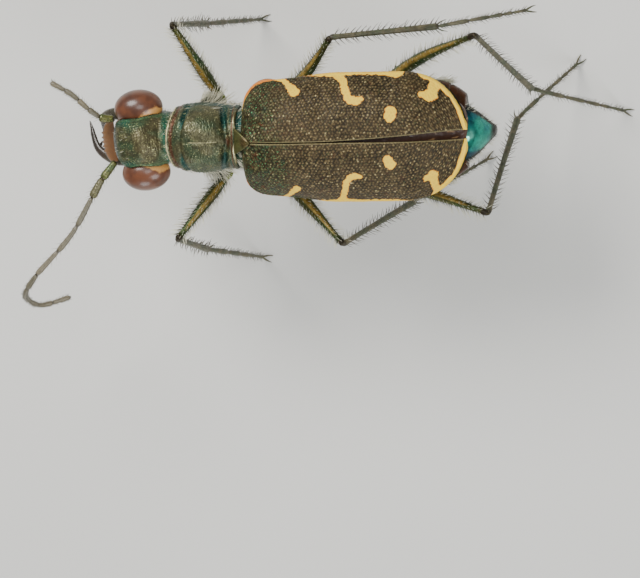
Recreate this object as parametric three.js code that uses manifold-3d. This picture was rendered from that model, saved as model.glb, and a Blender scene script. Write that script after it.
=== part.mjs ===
// A tiger beetle, life size, as a still museum model standing on five feet.
// Millimetres, +Z up. The head points along -X and the beetle's left side along -Y.
// The origin is on the floor, under the middle of the whole model.

import * as THREE from "three";
import { mergeVertices } from "three/addons/utils/BufferGeometryUtils.js";
import Module from "manifold-3d";

const wasm = await Module();
wasm.setup();

// Driving dimensions.
// GAP is kept between touching sub-parts. A leg is thinner than the gap of a larger model.
const GAP = 0.1;
const FLOOR = 0;
// Slivers that a cut leaves along its edge are merged below this size.
const SLIVER = 0.004;
const SIDES = { left: -1, right: 1 };

// The trunk leans to the beetle's left, round a lengthwise axis at the height of the wing cases' edges.
const TRUNK = { roll: 9.5, axis: [0, 0, 4.66], sideways: 0.05 };

const PROTHORAX = {
  front: -2.76,
  back: -1.3,
  halfWidth: [[-2.76, 0.64], [-2.45, 0.72], [-2.05, 0.75], [-1.66, 0.72], [-1.5, 0.68], [-1.3, 0.67]],
  top: [[-2.76, 5.43], [-2.62, 5.44], [-2.4, 5.58], [-2.03, 5.63], [-1.68, 5.57], [-1.5, 5.46], [-1.3, 5.47]],
  bottom: [[-2.76, 4.18], [-2.2, 3.98], [-1.6, 3.94], [-1.3, 4.05]],
};

const THORAX = {
  front: -1.18,
  back: 1.0,
  halfWidth: [[-1.18, 0.5], [-0.8, 0.78], [-0.2, 0.95], [1.0, 1.02]],
  top: [[-1.18, 4.98], [-0.7, 5.05], [0, 5.06], [1.0, 4.92]],
  bottom: [[-1.18, 4.05], [-0.6, 3.78], [0.4, 3.7], [1.0, 3.78]],
};

const ABDOMEN = {
  front: 1.1,
  back: 3.5,
  halfWidth: [[1.1, 1.02], [2.3, 1.1], [2.9, 1.1], [3.3, 0.98], [3.5, 0.84]],
  top: [[1.1, 4.92], [2.3, 4.75], [3.0, 4.55], [3.5, 4.4]],
  bottom: [[1.1, 3.8], [1.8, 3.68], [2.7, 3.62], [3.5, 3.6]],
};

const PYGIDIUM = {
  front: 3.6,
  back: 4.2,
  shift: 0.1,
  halfWidth: [[3.6, 0.7], [3.85, 0.42], [4.2, 0.07]],
  top: [[3.6, 4.28], [3.9, 4.0], [4.2, 3.66]],
  bottom: [[3.6, 3.6], [3.9, 3.54], [4.2, 3.52]],
};

const ELYTRA = {
  front: -1.12,
  back: 3.68,
  widest: 1.395,
  shoulderWidth: 1.22,
  shoulderEnd: -0.5,
  widestFrom: 1.0,
  apexFrom: 2.2,
  archPower: 1.9,
  ridge: [[-1.12, 5.46], [-0.97, 5.63], [-0.4, 5.73], [1.0, 5.57], [2.33, 5.37], [3.0, 5.14], [3.68, 4.86]],
  margin: [[-1.12, 5.02], [-0.85, 4.8], [-0.3, 4.75], [1.3, 4.66], [2.76, 4.53], [3.11, 4.57], [3.68, 4.78]],
  thickness: { ridge: 0.48, margin: 0.26, apex: 0.16 },
  apexOpening: 0.1,
  openingFrom: 2.1,
  thinnest: 0.04,
  steps: { across: 10, along: 28 },
};

const SCUTELLUM = { front: -1.22, back: -0.98, halfWidth: 0.17, top: 5.55, bottom: 5.1 };

const HEAD = {
  neck: [-2.78, 0.03, 4.79],
  yaw: 5.8,
  roll: 7.5,
  front: -1.15,
  back: -0.08,
  halfWidth: [[-1.15, 0.44], [-0.95, 0.55], [-0.55, 0.57], [-0.25, 0.62], [0, 0.58]],
  top: [[-1.15, 0.42], [-1.0, 0.62], [-0.54, 0.84], [-0.2, 0.7], [0, 0.65]],
  bottom: [[-1.15, -0.3], [-0.78, -0.5], [-0.54, -0.82], [-0.15, -0.7], [0, -0.62]],
  eye: { centre: [-0.58, 0.7, 0.1], size: [0.52, 0.39, 0.4] },
};

const LABRUM = { centre: [-1.27, -0.02, -0.47], size: [0.34, 0.84, 0.2], slope: 35 };

// Finishes: colour, roughness and metalness of each kind of surface.
const FINISHES = {
  bronze: { color: 0x474a35, roughness: 0.42, metalness: 0.6 },
  elytra: { color: 0x3e3426, roughness: 0.55, metalness: 0.35 },
  eye: { color: 0x7a3a26, roughness: 0.12, metalness: 0 },
  labrum: { color: 0x8f6234, roughness: 0.4, metalness: 0 },
  mandible: { color: 0x4a3527, roughness: 0.25, metalness: 0.2 },
  palp: { color: 0xb27a3a, roughness: 0.45, metalness: 0 },
  antenna: { color: 0x6d6355, roughness: 0.6, metalness: 0.05 },
  antennaBase: { color: 0x3d5a3c, roughness: 0.3, metalness: 0.6 },
  coxa: { color: 0x3c4a35, roughness: 0.4, metalness: 0.5 },
  femur: { color: 0x4a4424, roughness: 0.35, metalness: 0.5 },
  tibia: { color: 0x4d4a3a, roughness: 0.45, metalness: 0.3 },
  belly: { color: 0x2f4a3d, roughness: 0.35, metalness: 0.6 },
  pygidium: { color: 0x2f6a6a, roughness: 0.28, metalness: 0.75 },
};

// A smooth curve through [position, value] pairs, level past its ends.
function through(pairs) {
  const slopes = pairs.map((_, i) => {
    const before = pairs[Math.max(i - 1, 0)];
    const after = pairs[Math.min(i + 1, pairs.length - 1)];
    return (after[1] - before[1]) / (after[0] - before[0]);
  });
  return (x) => {
    const clamped = THREE.MathUtils.clamp(x, pairs[0][0], pairs[pairs.length - 1][0]);
    let i = 0;
    while (i < pairs.length - 2 && clamped > pairs[i + 1][0]) i += 1;
    const span = pairs[i + 1][0] - pairs[i][0];
    const t = (clamped - pairs[i][0]) / span;
    const rise = pairs[i + 1][1] - pairs[i][1];
    const startBend = slopes[i] * span - rise;
    const endBend = rise - slopes[i + 1] * span;
    return pairs[i][1] + rise * t + t * (1 - t) * (startBend * (1 - t) + endBend * t);
  };
}

function reshape(geometry, place) {
  const position = geometry.attributes.position;
  const point = new THREE.Vector3();
  for (let i = 0; i < position.count; i += 1) {
    place(point.fromBufferAttribute(position, i));
    position.setXYZ(i, point.x, point.y, point.z);
  }
  geometry.deleteAttribute("normal");
  geometry.deleteAttribute("uv");
  return mergeVertices(geometry, 1e-4);
}

// Solids for joins and cuts.
function toSolid(geometry) {
  const merged = mergeVertices(geometry, 1e-4);
  const mesh = new wasm.Mesh({
    numProp: 3,
    vertProperties: new Float32Array(merged.attributes.position.array),
    triVerts: new Uint32Array(merged.index.array),
  });
  mesh.merge();
  return new wasm.Manifold(mesh);
}

function largestBody(solid) {
  return solid.decompose().reduce((best, body) => (body.volume() > best.volume() ? body : best));
}

function toGeometry(solid) {
  const mesh = largestBody(solid).simplify(SLIVER).getMesh();
  const geometry = new THREE.BufferGeometry();
  geometry.setAttribute("position", new THREE.Float32BufferAttribute(mesh.vertProperties, 3));
  geometry.setIndex([...mesh.triVerts]);
  return geometry;
}

function join(geometries) {
  return toGeometry(geometries.map(toSolid).reduce((sum, solid) => sum.add(solid)));
}

function cutClear(geometry, neighbours) {
  return toGeometry(neighbours.map(toSolid).reduce((rest, solid) => rest.subtract(solid), toSolid(geometry)));
}

// A closed body along X with its own top, bottom and half-width curves.
function loft(shape, { sides = 20, rings = 16, grow = 0, power = 2.2, lower = 1.9 } = {}) {
  const halfWidth = through(shape.halfWidth);
  const top = through(shape.top);
  const bottom = through(shape.bottom);
  const shift = shape.shift ?? 0;
  const back = shape.back ?? 0;
  return reshape(new THREE.CylinderGeometry(1, 1, 1, sides, rings), (p) => {
    const t = p.y + 0.5;
    const x = THREE.MathUtils.lerp(shape.front - grow, back + grow, t);
    const squareness = p.x > 0 ? power : lower;
    const bulge = (value) => Math.sign(value) * Math.abs(value) ** (2 / squareness);
    const middle = THREE.MathUtils.lerp(bottom(x), top(x), 0.5);
    const halfHeight = (top(x) - bottom(x)) / 2 + grow;
    p.set(x, shift + bulge(p.z) * (halfWidth(x) + grow), middle + bulge(p.x) * halfHeight);
  });
}

// A closed limb along a curve. Each stop is [share of the length, radius].
function limb(points, stops, { sides = 8, grow = 0 } = {}) {
  const curve = new THREE.CatmullRomCurve3(points.map((p) => new THREE.Vector3(...p)), false, "centripetal");
  const last = stops.length - 1;
  const tangent = new THREE.Vector3();
  const normal = new THREE.Vector3();
  const across = new THREE.Vector3();
  return reshape(new THREE.CylinderGeometry(1, 1, 1, sides, last), (p) => {
    const ring = Math.round((p.y + 0.5) * last);
    const [share, radius] = stops[ring];
    const centre = curve.getPointAt(share);
    tangent.copy(curve.getTangentAt(share));
    normal.set(0, 0, 1).addScaledVector(tangent, -tangent.z).normalize();
    across.crossVectors(normal, tangent);
    if (ring === 0) centre.addScaledVector(tangent, -grow);
    if (ring === last) centre.addScaledVector(tangent, grow);
    const size = radius + grow;
    centre.addScaledVector(normal, p.x * size).addScaledVector(across, p.z * size);
    p.copy(centre);
  });
}

const model = new THREE.Group();

function addPiece(name, geometry, finish, parent = model) {
  const mesh = new THREE.Mesh(geometry, new THREE.MeshStandardMaterial(FINISHES[finish]));
  mesh.name = name;
  parent.add(mesh);
}

// Everything of the trunk is built upright in this group, which leans as a whole.
const trunkGroup = new THREE.Group();
trunkGroup.position.set(...TRUNK.axis).add(new THREE.Vector3(0, TRUNK.sideways, 0));
trunkGroup.rotation.x = THREE.MathUtils.degToRad(TRUNK.roll);
const trunk = new THREE.Group();
trunk.position.set(...TRUNK.axis).negate();
trunkGroup.add(trunk);
model.add(trunkGroup);
trunkGroup.updateMatrixWorld(true);
const leaning = (geometry) => geometry.clone().applyMatrix4(trunk.matrixWorld);

function mirrorY(points, side) {
  return points.map(([x, y, z]) => [x, y * side, z]);
}

// Head, in a group of its own that is turned to the beetle's left and rolled a little.
const headGroup = new THREE.Group();
headGroup.position.set(...HEAD.neck);
headGroup.rotation.set(THREE.MathUtils.degToRad(HEAD.roll), 0, THREE.MathUtils.degToRad(HEAD.yaw), "ZYX");
headGroup.updateMatrix();
model.add(headGroup);

function eyeball(side, grow = 0) {
  const { centre, size } = HEAD.eye;
  return reshape(new THREE.SphereGeometry(1, 20, 14), (p) => {
    p.set(
      centre[0] + p.x * (size[0] + grow),
      centre[1] * side + p.z * (size[1] + grow),
      centre[2] - p.y * (size[2] + grow),
    );
  });
}

function labrumPlate(grow = 0) {
  const { centre, size, slope } = LABRUM;
  const lean = THREE.MathUtils.degToRad(slope);
  return reshape(new THREE.CylinderGeometry(1, 1, 1, 16, 2), (p) => {
    const along = Math.sign(p.x) * Math.abs(p.x) ** 0.7 * (size[0] / 2 + grow);
    const across = Math.sign(p.z) * Math.abs(p.z) ** 0.7 * (size[1] / 2 + grow);
    const up = p.y * (size[2] + grow * 2);
    p.set(
      centre[0] + along * Math.cos(lean) - up * Math.sin(lean),
      centre[1] - across,
      centre[2] + along * Math.sin(lean) + up * Math.cos(lean),
    );
  });
}

function headCapsule(grow = 0) {
  return loft(HEAD, { sides: 24, rings: 14, grow, power: 2.4, lower: 2.1 });
}

const MANDIBLES = {
  left: [[-0.78, -0.36, -0.66], [-1.25, -0.46, -0.76], [-1.68, -0.22, -0.94], [-1.87, 0.4, -1.18]],
  right: [[-0.82, 0.42, -0.66], [-1.2, 0.58, -0.72], [-1.5, 0.5, -0.95], [-1.6, 0.02, -1.36]],
};
const MANDIBLE_STOPS = [[0, 0.12], [0.1, 0.16], [0.35, 0.14], [0.6, 0.11], [0.85, 0.07], [1, 0.03]];

// Palps on the beetle's right side. The left ones mirror them.
const PALPS = {
  maxillary: [[-0.7, 0.3, -0.84], [-0.93, 0.36, -0.98], [-1.12, 0.4, -1.26], [-1.66, 0.44, -1.4]],
  labial: [[-0.46, 0.14, -0.94], [-0.38, 0.2, -1.2], [-0.32, 0.24, -1.5], [-0.72, 0.22, -1.74]],
};
const PALP_STOPS = [[0, 0.1], [0.1, 0.13], [0.33, 0.12], [0.62, 0.12], [0.66, 0.1], [0.9, 0.11], [1, 0.06]];

const socketedHead = cutClear(headCapsule(), [eyeball(-1, GAP), eyeball(1, GAP)]);
addPiece("head", socketedHead, "bronze", headGroup);
addPiece("labrum", cutClear(labrumPlate(), [headCapsule(GAP)]), "labrum", headGroup);

const mandible = (side, grow) => limb(MANDIBLES[side], MANDIBLE_STOPS, { grow });
const mouth = [headCapsule(GAP), labrumPlate(GAP)];
const leftMandible = cutClear(mandible("left", 0), mouth);
const rightMandible = cutClear(mandible("right", 0), [...mouth, mandible("left", GAP)]);
addPiece("mandible_left", leftMandible, "mandible", headGroup);
addPiece("mandible_right", rightMandible, "mandible", headGroup);

for (const [name, side] of Object.entries(SIDES)) {
  addPiece(`eye_${name}`, eyeball(side), "eye", headGroup);
  const jaws = [headCapsule(GAP), mandible("left", GAP), mandible("right", GAP)];
  const maxillary = limb(mirrorY(PALPS.maxillary, side), PALP_STOPS);
  addPiece(`maxillary_palp_${name}`, cutClear(maxillary, jaws), "palp", headGroup);
  const labial = limb(mirrorY(PALPS.labial, side), PALP_STOPS);
  addPiece(`labial_palp_${name}`, cutClear(labial, jaws), "palp", headGroup);
}

// Antennae. The right one ends after its fifth segment.
const ANTENNAE = {
  left: {
    scape: [[-3.99, -0.5, 4.65], [-4.31, -0.93, 4.67], [-4.5, -1.27, 4.66]],
    middle: [[-4.5, -1.27, 4.66], [-4.95, -2.06, 4.64], [-5.73, -2.93, 4.58]],
    tip: [
      [-5.73, -2.93, 4.58],
      [-6.0, -3.29, 4.38],
      [-6.06, -3.46, 3.82],
      [-5.87, -3.58, 3.28],
      [-5.29, -3.41, 3.03],
    ],
  },
  right: {
    scape: [[-3.99, 0.42, 4.84], [-4.15, 0.42, 4.87], [-4.3, 0.45, 4.9]],
    middle: [[-4.3, 0.45, 4.9], [-4.55, 0.66, 5.06], [-4.72, 0.82, 5.09]],
    tip: [[-4.72, 0.82, 5.09], [-4.87, 0.94, 5.1], [-5.33, 1.19, 5.03]],
  },
};
const ANTENNA_SEGMENTS = {
  left: { scape: 1, middle: 3, tip: 6 },
  right: { scape: 1, middle: 2, tip: 2 },
};
const ANTENNA_RADII = { scape: [0.2, 0.2], middle: [0.18, 0.17], tip: [0.16, 0.08] };

// A jointed feeler: each segment widens a little towards its far end.
function segmentStops(count, radii) {
  const stops = [];
  for (let i = 0; i < count; i += 1) {
    const widest = THREE.MathUtils.lerp(radii[0], radii[1], (i + 1) / count);
    stops.push([(i + 0.02) / count, widest * 0.78]);
    stops.push([(i + 0.85) / count, widest]);
  }
  stops[0][0] = 0;
  stops.push([1, radii[1] * 0.7]);
  return stops;
}

headGroup.updateMatrixWorld(true);
const placed = (geometry) => geometry.clone().applyMatrix4(headGroup.matrixWorld);
const headInModel = placed(headCapsule(GAP));

for (const [name, side] of Object.entries(SIDES)) {
  const eyeInModel = placed(eyeball(side, GAP));
  let before = [headInModel, eyeInModel];
  for (const section of ["scape", "middle", "tip"]) {
    const stops = segmentStops(ANTENNA_SEGMENTS[name][section], ANTENNA_RADII[section]);
    const build = (grow) => limb(ANTENNAE[name][section], stops, { sides: 7, grow });
    const finish = section === "tip" ? "antenna" : "antennaBase";
    addPiece(`antenna_${name}_${section}`, cutClear(build(0), before), finish);
    before = [headInModel, eyeInModel, build(GAP)];
  }
}

// Body.
const prothorax = (grow) => loft(PROTHORAX, { sides: 24, rings: 20, grow });
const thorax = (grow) => loft(THORAX, { sides: 20, rings: 12, grow });
const abdomen = (grow) => loft(ABDOMEN, { sides: 20, rings: 14, grow, power: 2.3, lower: 1.8 });
addPiece("prothorax", prothorax(0), "bronze", trunk);
addPiece("thorax", thorax(0), "belly", trunk);
addPiece("abdomen", abdomen(0), "belly", trunk);
const lastPlate = loft(PYGIDIUM, { sides: 14, rings: 6, power: 1.8 });
addPiece("pygidium", cutClear(lastPlate, [abdomen(GAP)]), "pygidium", trunk);

// Wing cases: two arched shells that meet along the middle and part towards the tail.
const elytraRidge = through(ELYTRA.ridge);
const elytraMargin = through(ELYTRA.margin);

function elytraHalfWidth(x) {
  const widening = THREE.MathUtils.smoothstep(x, ELYTRA.shoulderEnd, ELYTRA.widestFrom);
  const width = THREE.MathUtils.lerp(ELYTRA.shoulderWidth, ELYTRA.widest, widening);
  const shoulder = Math.max(0, (ELYTRA.shoulderEnd - x) / (ELYTRA.shoulderEnd - ELYTRA.front));
  const apex = Math.max(0, (x - ELYTRA.apexFrom) / (ELYTRA.back - ELYTRA.apexFrom));
  return width * (1 - (shoulder * 0.995) ** 2.3) ** 0.28 * (1 - (apex * 0.99) ** 2) ** 0.5;
}

function elytron(side) {
  const bend = 2 / ELYTRA.archPower;
  const { thickness, thinnest, steps } = ELYTRA;
  return reshape(new THREE.BoxGeometry(1, 1, 1, steps.across, steps.along, 1), (p) => {
    const v = side > 0 ? -p.y : p.y;
    const x = THREE.MathUtils.lerp(ELYTRA.front, ELYTRA.back, Math.sin(v * Math.PI) / 2 + 0.5);
    const inner = p.z < 0 ? 1 : 0;
    const thinning = THREE.MathUtils.smoothstep(x, ELYTRA.apexFrom, ELYTRA.back);
    const wall = THREE.MathUtils.lerp(thickness.ridge, thickness.apex, thinning) * inner;
    const sideWall = THREE.MathUtils.lerp(thickness.margin, thickness.apex, thinning) * inner;
    const opening = THREE.MathUtils.smoothstep(x, ELYTRA.openingFrom, ELYTRA.back);
    const suture = GAP / 2 + ELYTRA.apexOpening * opening;
    const reach = Math.max(elytraHalfWidth(x) - sideWall - suture, thinnest * (inner ? 0.8 : 1.4));
    const ridge = elytraRidge(x) - wall;
    const margin = Math.min(elytraMargin(x), ridge - thinnest);
    const angle = (p.x + 0.5) * Math.PI / 2;
    const y = suture + reach * Math.sin(angle) ** bend;
    p.set(x, y * side, margin + (ridge - margin) * Math.max(Math.cos(angle), 0) ** bend);
  });
}

// The scutellum, a small triangular shield let into the front corners of the wing cases.
function scutellum(grow = 0) {
  const { front, back, halfWidth, top, bottom } = SCUTELLUM;
  return reshape(new THREE.CylinderGeometry(1, 1, 1, 12, 2), (p) => {
    const t = (p.x + 1) / 2;
    const narrowing = 1 - t * 0.75;
    p.set(
      THREE.MathUtils.lerp(front - grow, back + grow, t),
      -p.z * (halfWidth * narrowing + grow),
      THREE.MathUtils.lerp(bottom, top + grow, p.y + 0.5),
    );
  });
}
addPiece("scutellum", scutellum(), "bronze", trunk);

for (const [name, side] of Object.entries(SIDES)) {
  addPiece(`elytron_${name}`, cutClear(elytron(side), [scutellum(GAP * 0.7)]), "elytra", trunk);
}

// Legs. Each is a chain of points: coxa root, hip, an optional bow, knee, ankle and claw tip.
const LEGS = {
  fore_left: {
    root: [-2.16, -0.32, 3.9],
    hip: [-1.69, -0.71, 3.6],
    knee: [-2.7, -2.16, 4.32],
    ankle: [-2.37, -2.38, 2.44],
    tip: [-1.39, -2.59, FLOOR],
  },
  fore_right: {
    root: [-2.16, 0.52, 3.9],
    hip: [-1.84, 0.8, 3.62],
    knee: [-2.83, 2.44, 4.32],
    ankle: [-2.39, 2.48, 2.44],
    tip: [-1.42, 2.63, FLOOR],
  },
  middle_left: {
    root: [-0.9, -0.25, 3.76],
    hip: [-0.72, -0.62, 3.5],
    knee: [0.82, -2.27, 3.84],
    ankle: [2.07, -1.34, 2.03],
    tip: [3.5, -0.3, FLOOR],
  },
  middle_right: {
    root: [-0.9, 0.45, 3.84],
    hip: [-0.76, 0.62, 3.5],
    knee: [0.63, 2.16, 4.32],
    ankle: [2.83, 2.4, 3.5],
    tip: [4.86, 2.79, 2.72],
  },
  hind_left: {
    root: [0.55, -0.3, 3.66],
    hip: [1.15, -0.66, 3.42],
    knee: [3.95, -1.61, 3.7],
    ankle: [4.29, 0.45, 1.88],
    tip: [5.42, 1.79, FLOOR],
  },
  hind_right: {
    root: [0.55, 0.5, 3.74],
    hip: [1.12, 0.73, 3.42],
    bow: [2.27, 1.62, 3.9],
    knee: [3.91, 2.2, 5.12],
    ankle: [4.69, 1.06, 2.38],
    tip: [6.52, 0.55, FLOOR],
  },
};
const COXA_STOPS = [[0, 0.22], [0.15, 0.32], [0.55, 0.31], [0.85, 0.22], [1, 0.14]];
const FEMUR_STOPS = [[0, 0.12], [0.04, 0.18], [0.1, 0.17], [0.3, 0.25], [0.55, 0.24], [0.9, 0.19], [1, 0.12]];
const TIBIA_STOPS = [[0, 0.13], [0.05, 0.19], [0.3, 0.19], [0.6, 0.2], [0.92, 0.22], [1, 0.15]];
const TIBIA_ARCH = 0.06;
const SPUR = { length: 0.22, sunk: 0.15, spread: 0.27, stops: [[0, 0.07], [0.4, 0.06], [1, 0.02]] };
const TARSUS_SHARES = [0.34, 0.22, 0.16, 0.11, 0.17];
const TARSUS_RADII = { plain: [0.17, 0.15, 0.14, 0.13, 0.11], dilated: [0.2, 0.2, 0.19, 0.13, 0.11] };
const TARSUS_ARCH = 0.05;
const CLAW = { length: 0.36, sunk: 0.1, spread: [0.12, 0.17], stops: [[0, 0.07], [0.5, 0.065], [1, 0.05]] };
const FOOT_HEIGHTS = { end: 0.09, elbow: 0.045, tip: 0.03 };

const UP = new THREE.Vector3(0, 0, 1);
const vector = (p) => new THREE.Vector3(...p);
const sidewaysTo = (direction) => UP.clone().cross(direction).normalize();

function along(start, direction, length, outward, spread) {
  return vector(start).addScaledVector(direction, length).addScaledVector(outward, spread).toArray();
}

function arched(start, end, share, rise) {
  const middle = vector(start).lerp(vector(end), share);
  middle.z += rise;
  return [start, middle.toArray(), end];
}

// Five segments that each widen towards their far end.
function tarsusStops(radii) {
  const stops = [];
  let start = 0;
  TARSUS_SHARES.forEach((share, i) => {
    stops.push([start + share * 0.04, radii[i] * 0.68]);
    stops.push([start + share * 0.8, radii[i]]);
    start += share;
  });
  stops[0][0] = 0;
  stops.push([1, radii[radii.length - 1] * 0.7]);
  return stops;
}

// Two short spurs on the far end of the tibia.
function spurs({ knee, ankle }) {
  const down = vector(ankle).sub(vector(knee)).normalize();
  const outward = sidewaysTo(down);
  return [-1, 1].map((side) => {
    const root = along(ankle, down, -SPUR.sunk, outward, side * SPUR.spread * 0.4);
    const tip = along(ankle, down, SPUR.length, outward, side * SPUR.spread);
    return limb([root, tip], SPUR.stops, { sides: 6 });
  });
}

// The tarsus and its two spread claws. The claws of a standing leg lie along the floor.
function foot({ ankle, tip }, radii) {
  const standing = tip[2] === FLOOR;
  const towards = vector(tip).sub(vector(ankle)).normalize();
  const forward = standing ? towards.clone().setZ(0).normalize() : towards;
  const outward = sidewaysTo(towards);
  const end = along(tip, forward, -CLAW.length, outward, 0);
  const heights = standing ? FOOT_HEIGHTS : { end: tip[2] + 0.12, elbow: tip[2] + 0.1, tip: tip[2] };
  end[2] = heights.end;
  const claws = [-1, 1].map((side) => {
    const root = along(end, towards, -CLAW.sunk, outward, 0);
    const elbow = along(end, forward, CLAW.length * 0.5, outward, side * CLAW.spread[0]);
    const point = along(end, forward, CLAW.length, outward, side * CLAW.spread[1]);
    elbow[2] = heights.elbow;
    point[2] = heights.tip;
    return limb([root, elbow, point], CLAW.stops, { sides: 6 });
  });
  const shaft = limb(arched(ankle, end, 0.6, TARSUS_ARCH), tarsusStops(radii));
  return join([shaft, ...claws]);
}

// What lies under the floor is cut off, which leaves a small flat under each claw.
const belowFloor = reshape(new THREE.BoxGeometry(20, 12, 2), (p) => p.setZ(p.z + FLOOR - 1));
const trunkClearance = [prothorax(GAP), thorax(GAP), abdomen(GAP)].map(leaning);

for (const [name, leg] of Object.entries(LEGS)) {
  const coxa = (grow) => limb([leg.root, leg.hip], COXA_STOPS, { grow, sides: 10 });
  const femurRoute = leg.bow ? [leg.hip, leg.bow, leg.knee] : [leg.hip, leg.knee];
  const femur = (grow) => limb(femurRoute, FEMUR_STOPS, { grow, sides: 10 });
  const tibia = (grow) => limb(arched(leg.knee, leg.ankle, 0.5, TIBIA_ARCH), TIBIA_STOPS, { grow });
  const radii = name.startsWith("fore") ? TARSUS_RADII.dilated : TARSUS_RADII.plain;
  addPiece(`coxa_${name}`, cutClear(coxa(0), trunkClearance), "coxa");
  addPiece(`femur_${name}`, cutClear(femur(0), [coxa(GAP), ...trunkClearance]), "femur");
  addPiece(`tibia_${name}`, cutClear(join([tibia(0), ...spurs(leg)]), [femur(GAP)]), "tibia");
  addPiece(`tarsus_${name}`, cutClear(foot(leg, radii), [tibia(GAP), belowFloor]), "tibia");
}

// The origin goes to the middle of the model, on the floor.
model.updateMatrixWorld(true);
const extent = new THREE.Box3().setFromObject(model, true);
model.position.set(-(extent.min.x + extent.max.x) / 2, -(extent.min.y + extent.max.y) / 2, -extent.min.z);

export default model;
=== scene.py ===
"""A tiger beetle, life size, standing on five feet: its skin, markings, eyes, jaws, feelers and hair."""

import logging
import math
from dataclasses import dataclass, field
from enum import Enum
from functools import partial
from typing import Any, Callable, ClassVar, Iterable, Optional, Sequence, Union

import bmesh
import bpy
import numpy as np
from mathutils import Matrix, Vector


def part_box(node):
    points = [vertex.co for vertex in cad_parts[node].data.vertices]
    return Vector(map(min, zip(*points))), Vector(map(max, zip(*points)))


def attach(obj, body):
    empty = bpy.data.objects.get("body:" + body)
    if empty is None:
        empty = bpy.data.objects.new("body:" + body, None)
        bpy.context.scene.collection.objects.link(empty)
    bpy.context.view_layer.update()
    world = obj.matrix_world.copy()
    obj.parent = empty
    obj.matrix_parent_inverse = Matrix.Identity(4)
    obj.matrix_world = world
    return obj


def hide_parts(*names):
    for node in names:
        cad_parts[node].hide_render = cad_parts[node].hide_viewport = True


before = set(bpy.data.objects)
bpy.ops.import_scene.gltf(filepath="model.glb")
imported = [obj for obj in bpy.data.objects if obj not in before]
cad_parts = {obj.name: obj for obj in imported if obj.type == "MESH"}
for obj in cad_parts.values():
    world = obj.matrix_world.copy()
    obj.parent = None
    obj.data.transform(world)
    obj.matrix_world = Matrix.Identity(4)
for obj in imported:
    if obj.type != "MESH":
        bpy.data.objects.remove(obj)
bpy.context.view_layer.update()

LOG = logging.getLogger("tiger_beetle")
MM = 0.001
Array = np.ndarray
Pairs = Sequence[tuple[float, float]]
Colour = tuple[float, float, float]
Point = tuple[float, float, float]


class Side(Enum):
    """The beetle's own left and right."""

    LEFT = -1
    RIGHT = 1

    @property
    def label(self) -> str:
        """The word used in node names."""
        return self.name.lower()


def tone(red: int, green: int, blue: int) -> Colour:
    """A screen colour as linear light.

    Args:
        red: red, 0 to 255.
        green: green, 0 to 255.
        blue: blue, 0 to 255.

    Returns:
        The colour in linear light.
    """
    parts = []
    for value in (red, green, blue):
        share = value / 255
        parts.append(share / 12.92 if share <= 0.04045 else ((share + 0.055) / 1.055) ** 2.4)
    return (parts[0], parts[1], parts[2])


def dimmed(colour: Colour, share: float = 0.45) -> Colour:
    """A colour with a share of its light."""
    return (colour[0] * share, colour[1] * share, colour[2] * share)


def through(pairs: Pairs) -> Callable[[Array], Array]:
    """A smooth curve through pairs of position and value, level past its ends.

    Args:
        pairs: positions in rising order, each with its value.

    Returns:
        A function of an array of positions.
    """
    places = np.array([p[0] for p in pairs], float)
    values = np.array([p[1] for p in pairs], float)
    last = len(pairs) - 1
    before = np.maximum(np.arange(last + 1) - 1, 0)
    after = np.minimum(np.arange(last + 1) + 1, last)
    slopes = (values[after] - values[before]) / (places[after] - places[before])

    def curve(x: Array) -> Array:
        """The curve's value at each position."""
        x = np.clip(np.asarray(x, float), places[0], places[-1])
        i = np.clip(np.searchsorted(places, x, side="left") - 1, 0, last - 1)
        span = places[i + 1] - places[i]
        t = (x - places[i]) / span
        rise = values[i + 1] - values[i]
        start_bend = slopes[i] * span - rise
        end_bend = rise - slopes[i + 1] * span
        return values[i] + rise * t + t * (1 - t) * (start_bend * (1 - t) + end_bend * t)

    return curve


def between(pairs: Pairs, places: Array) -> Array:
    """Values on straight lines through pairs of position and value."""
    return np.interp(places, [p[0] for p in pairs], [p[1] for p in pairs])


def smooth(x: Array, low: float, high: float) -> Array:
    """A soft step from 0 at low to 1 at high."""
    t = np.clip((np.asarray(x, float) - low) / (high - low), 0, 1)
    return t * t * (3 - 2 * t)


def bump(x: Array, centre: float, width: float) -> Array:
    """A bell of height 1 round a centre."""
    return np.exp(-(((np.asarray(x, float) - centre) / width) ** 2))


def unit(vectors: Array) -> Array:
    """Vectors scaled to length 1."""
    return vectors / np.maximum(np.linalg.norm(vectors, axis=-1, keepdims=True), 1e-12)


def ripple(points: Array, size: float, seed: float = 0.0) -> Array:
    """A soft, uneven field of about -1 to 1 over points, for relief.

    Args:
        points: an array whose last axis is x, y, z.
        size: how far apart the bumps are.
        seed: moves the field.

    Returns:
        One value a point.
    """
    p = points * (2 * math.pi / size)
    a = np.sin(p[..., 0] * 1.07 + seed + 1.3 * np.sin(p[..., 1] * 0.71 + seed * 2))
    b = np.sin(p[..., 1] * 0.93 + seed * 3 + 1.1 * np.sin(p[..., 2] * 0.83 + 1.7))
    c = np.sin(p[..., 2] * 1.13 + seed * 5 + 1.2 * np.sin(p[..., 0] * 0.77 + 0.6))
    return (a * b + b * c + c * a) / 1.8


@dataclass(frozen=True)
class Place:
    """Where a group of pieces is turned to and moved to, in the model."""

    turn: Array
    before: Array
    after: Array

    def __call__(self, points: Array) -> Array:
        """Points of the group, in the model."""
        return (np.asarray(points, float) - self.before) @ self.turn.T + self.after

    def direction(self, vectors: Array) -> Array:
        """Directions of the group, in the model."""
        return np.asarray(vectors, float) @ self.turn.T


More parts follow.
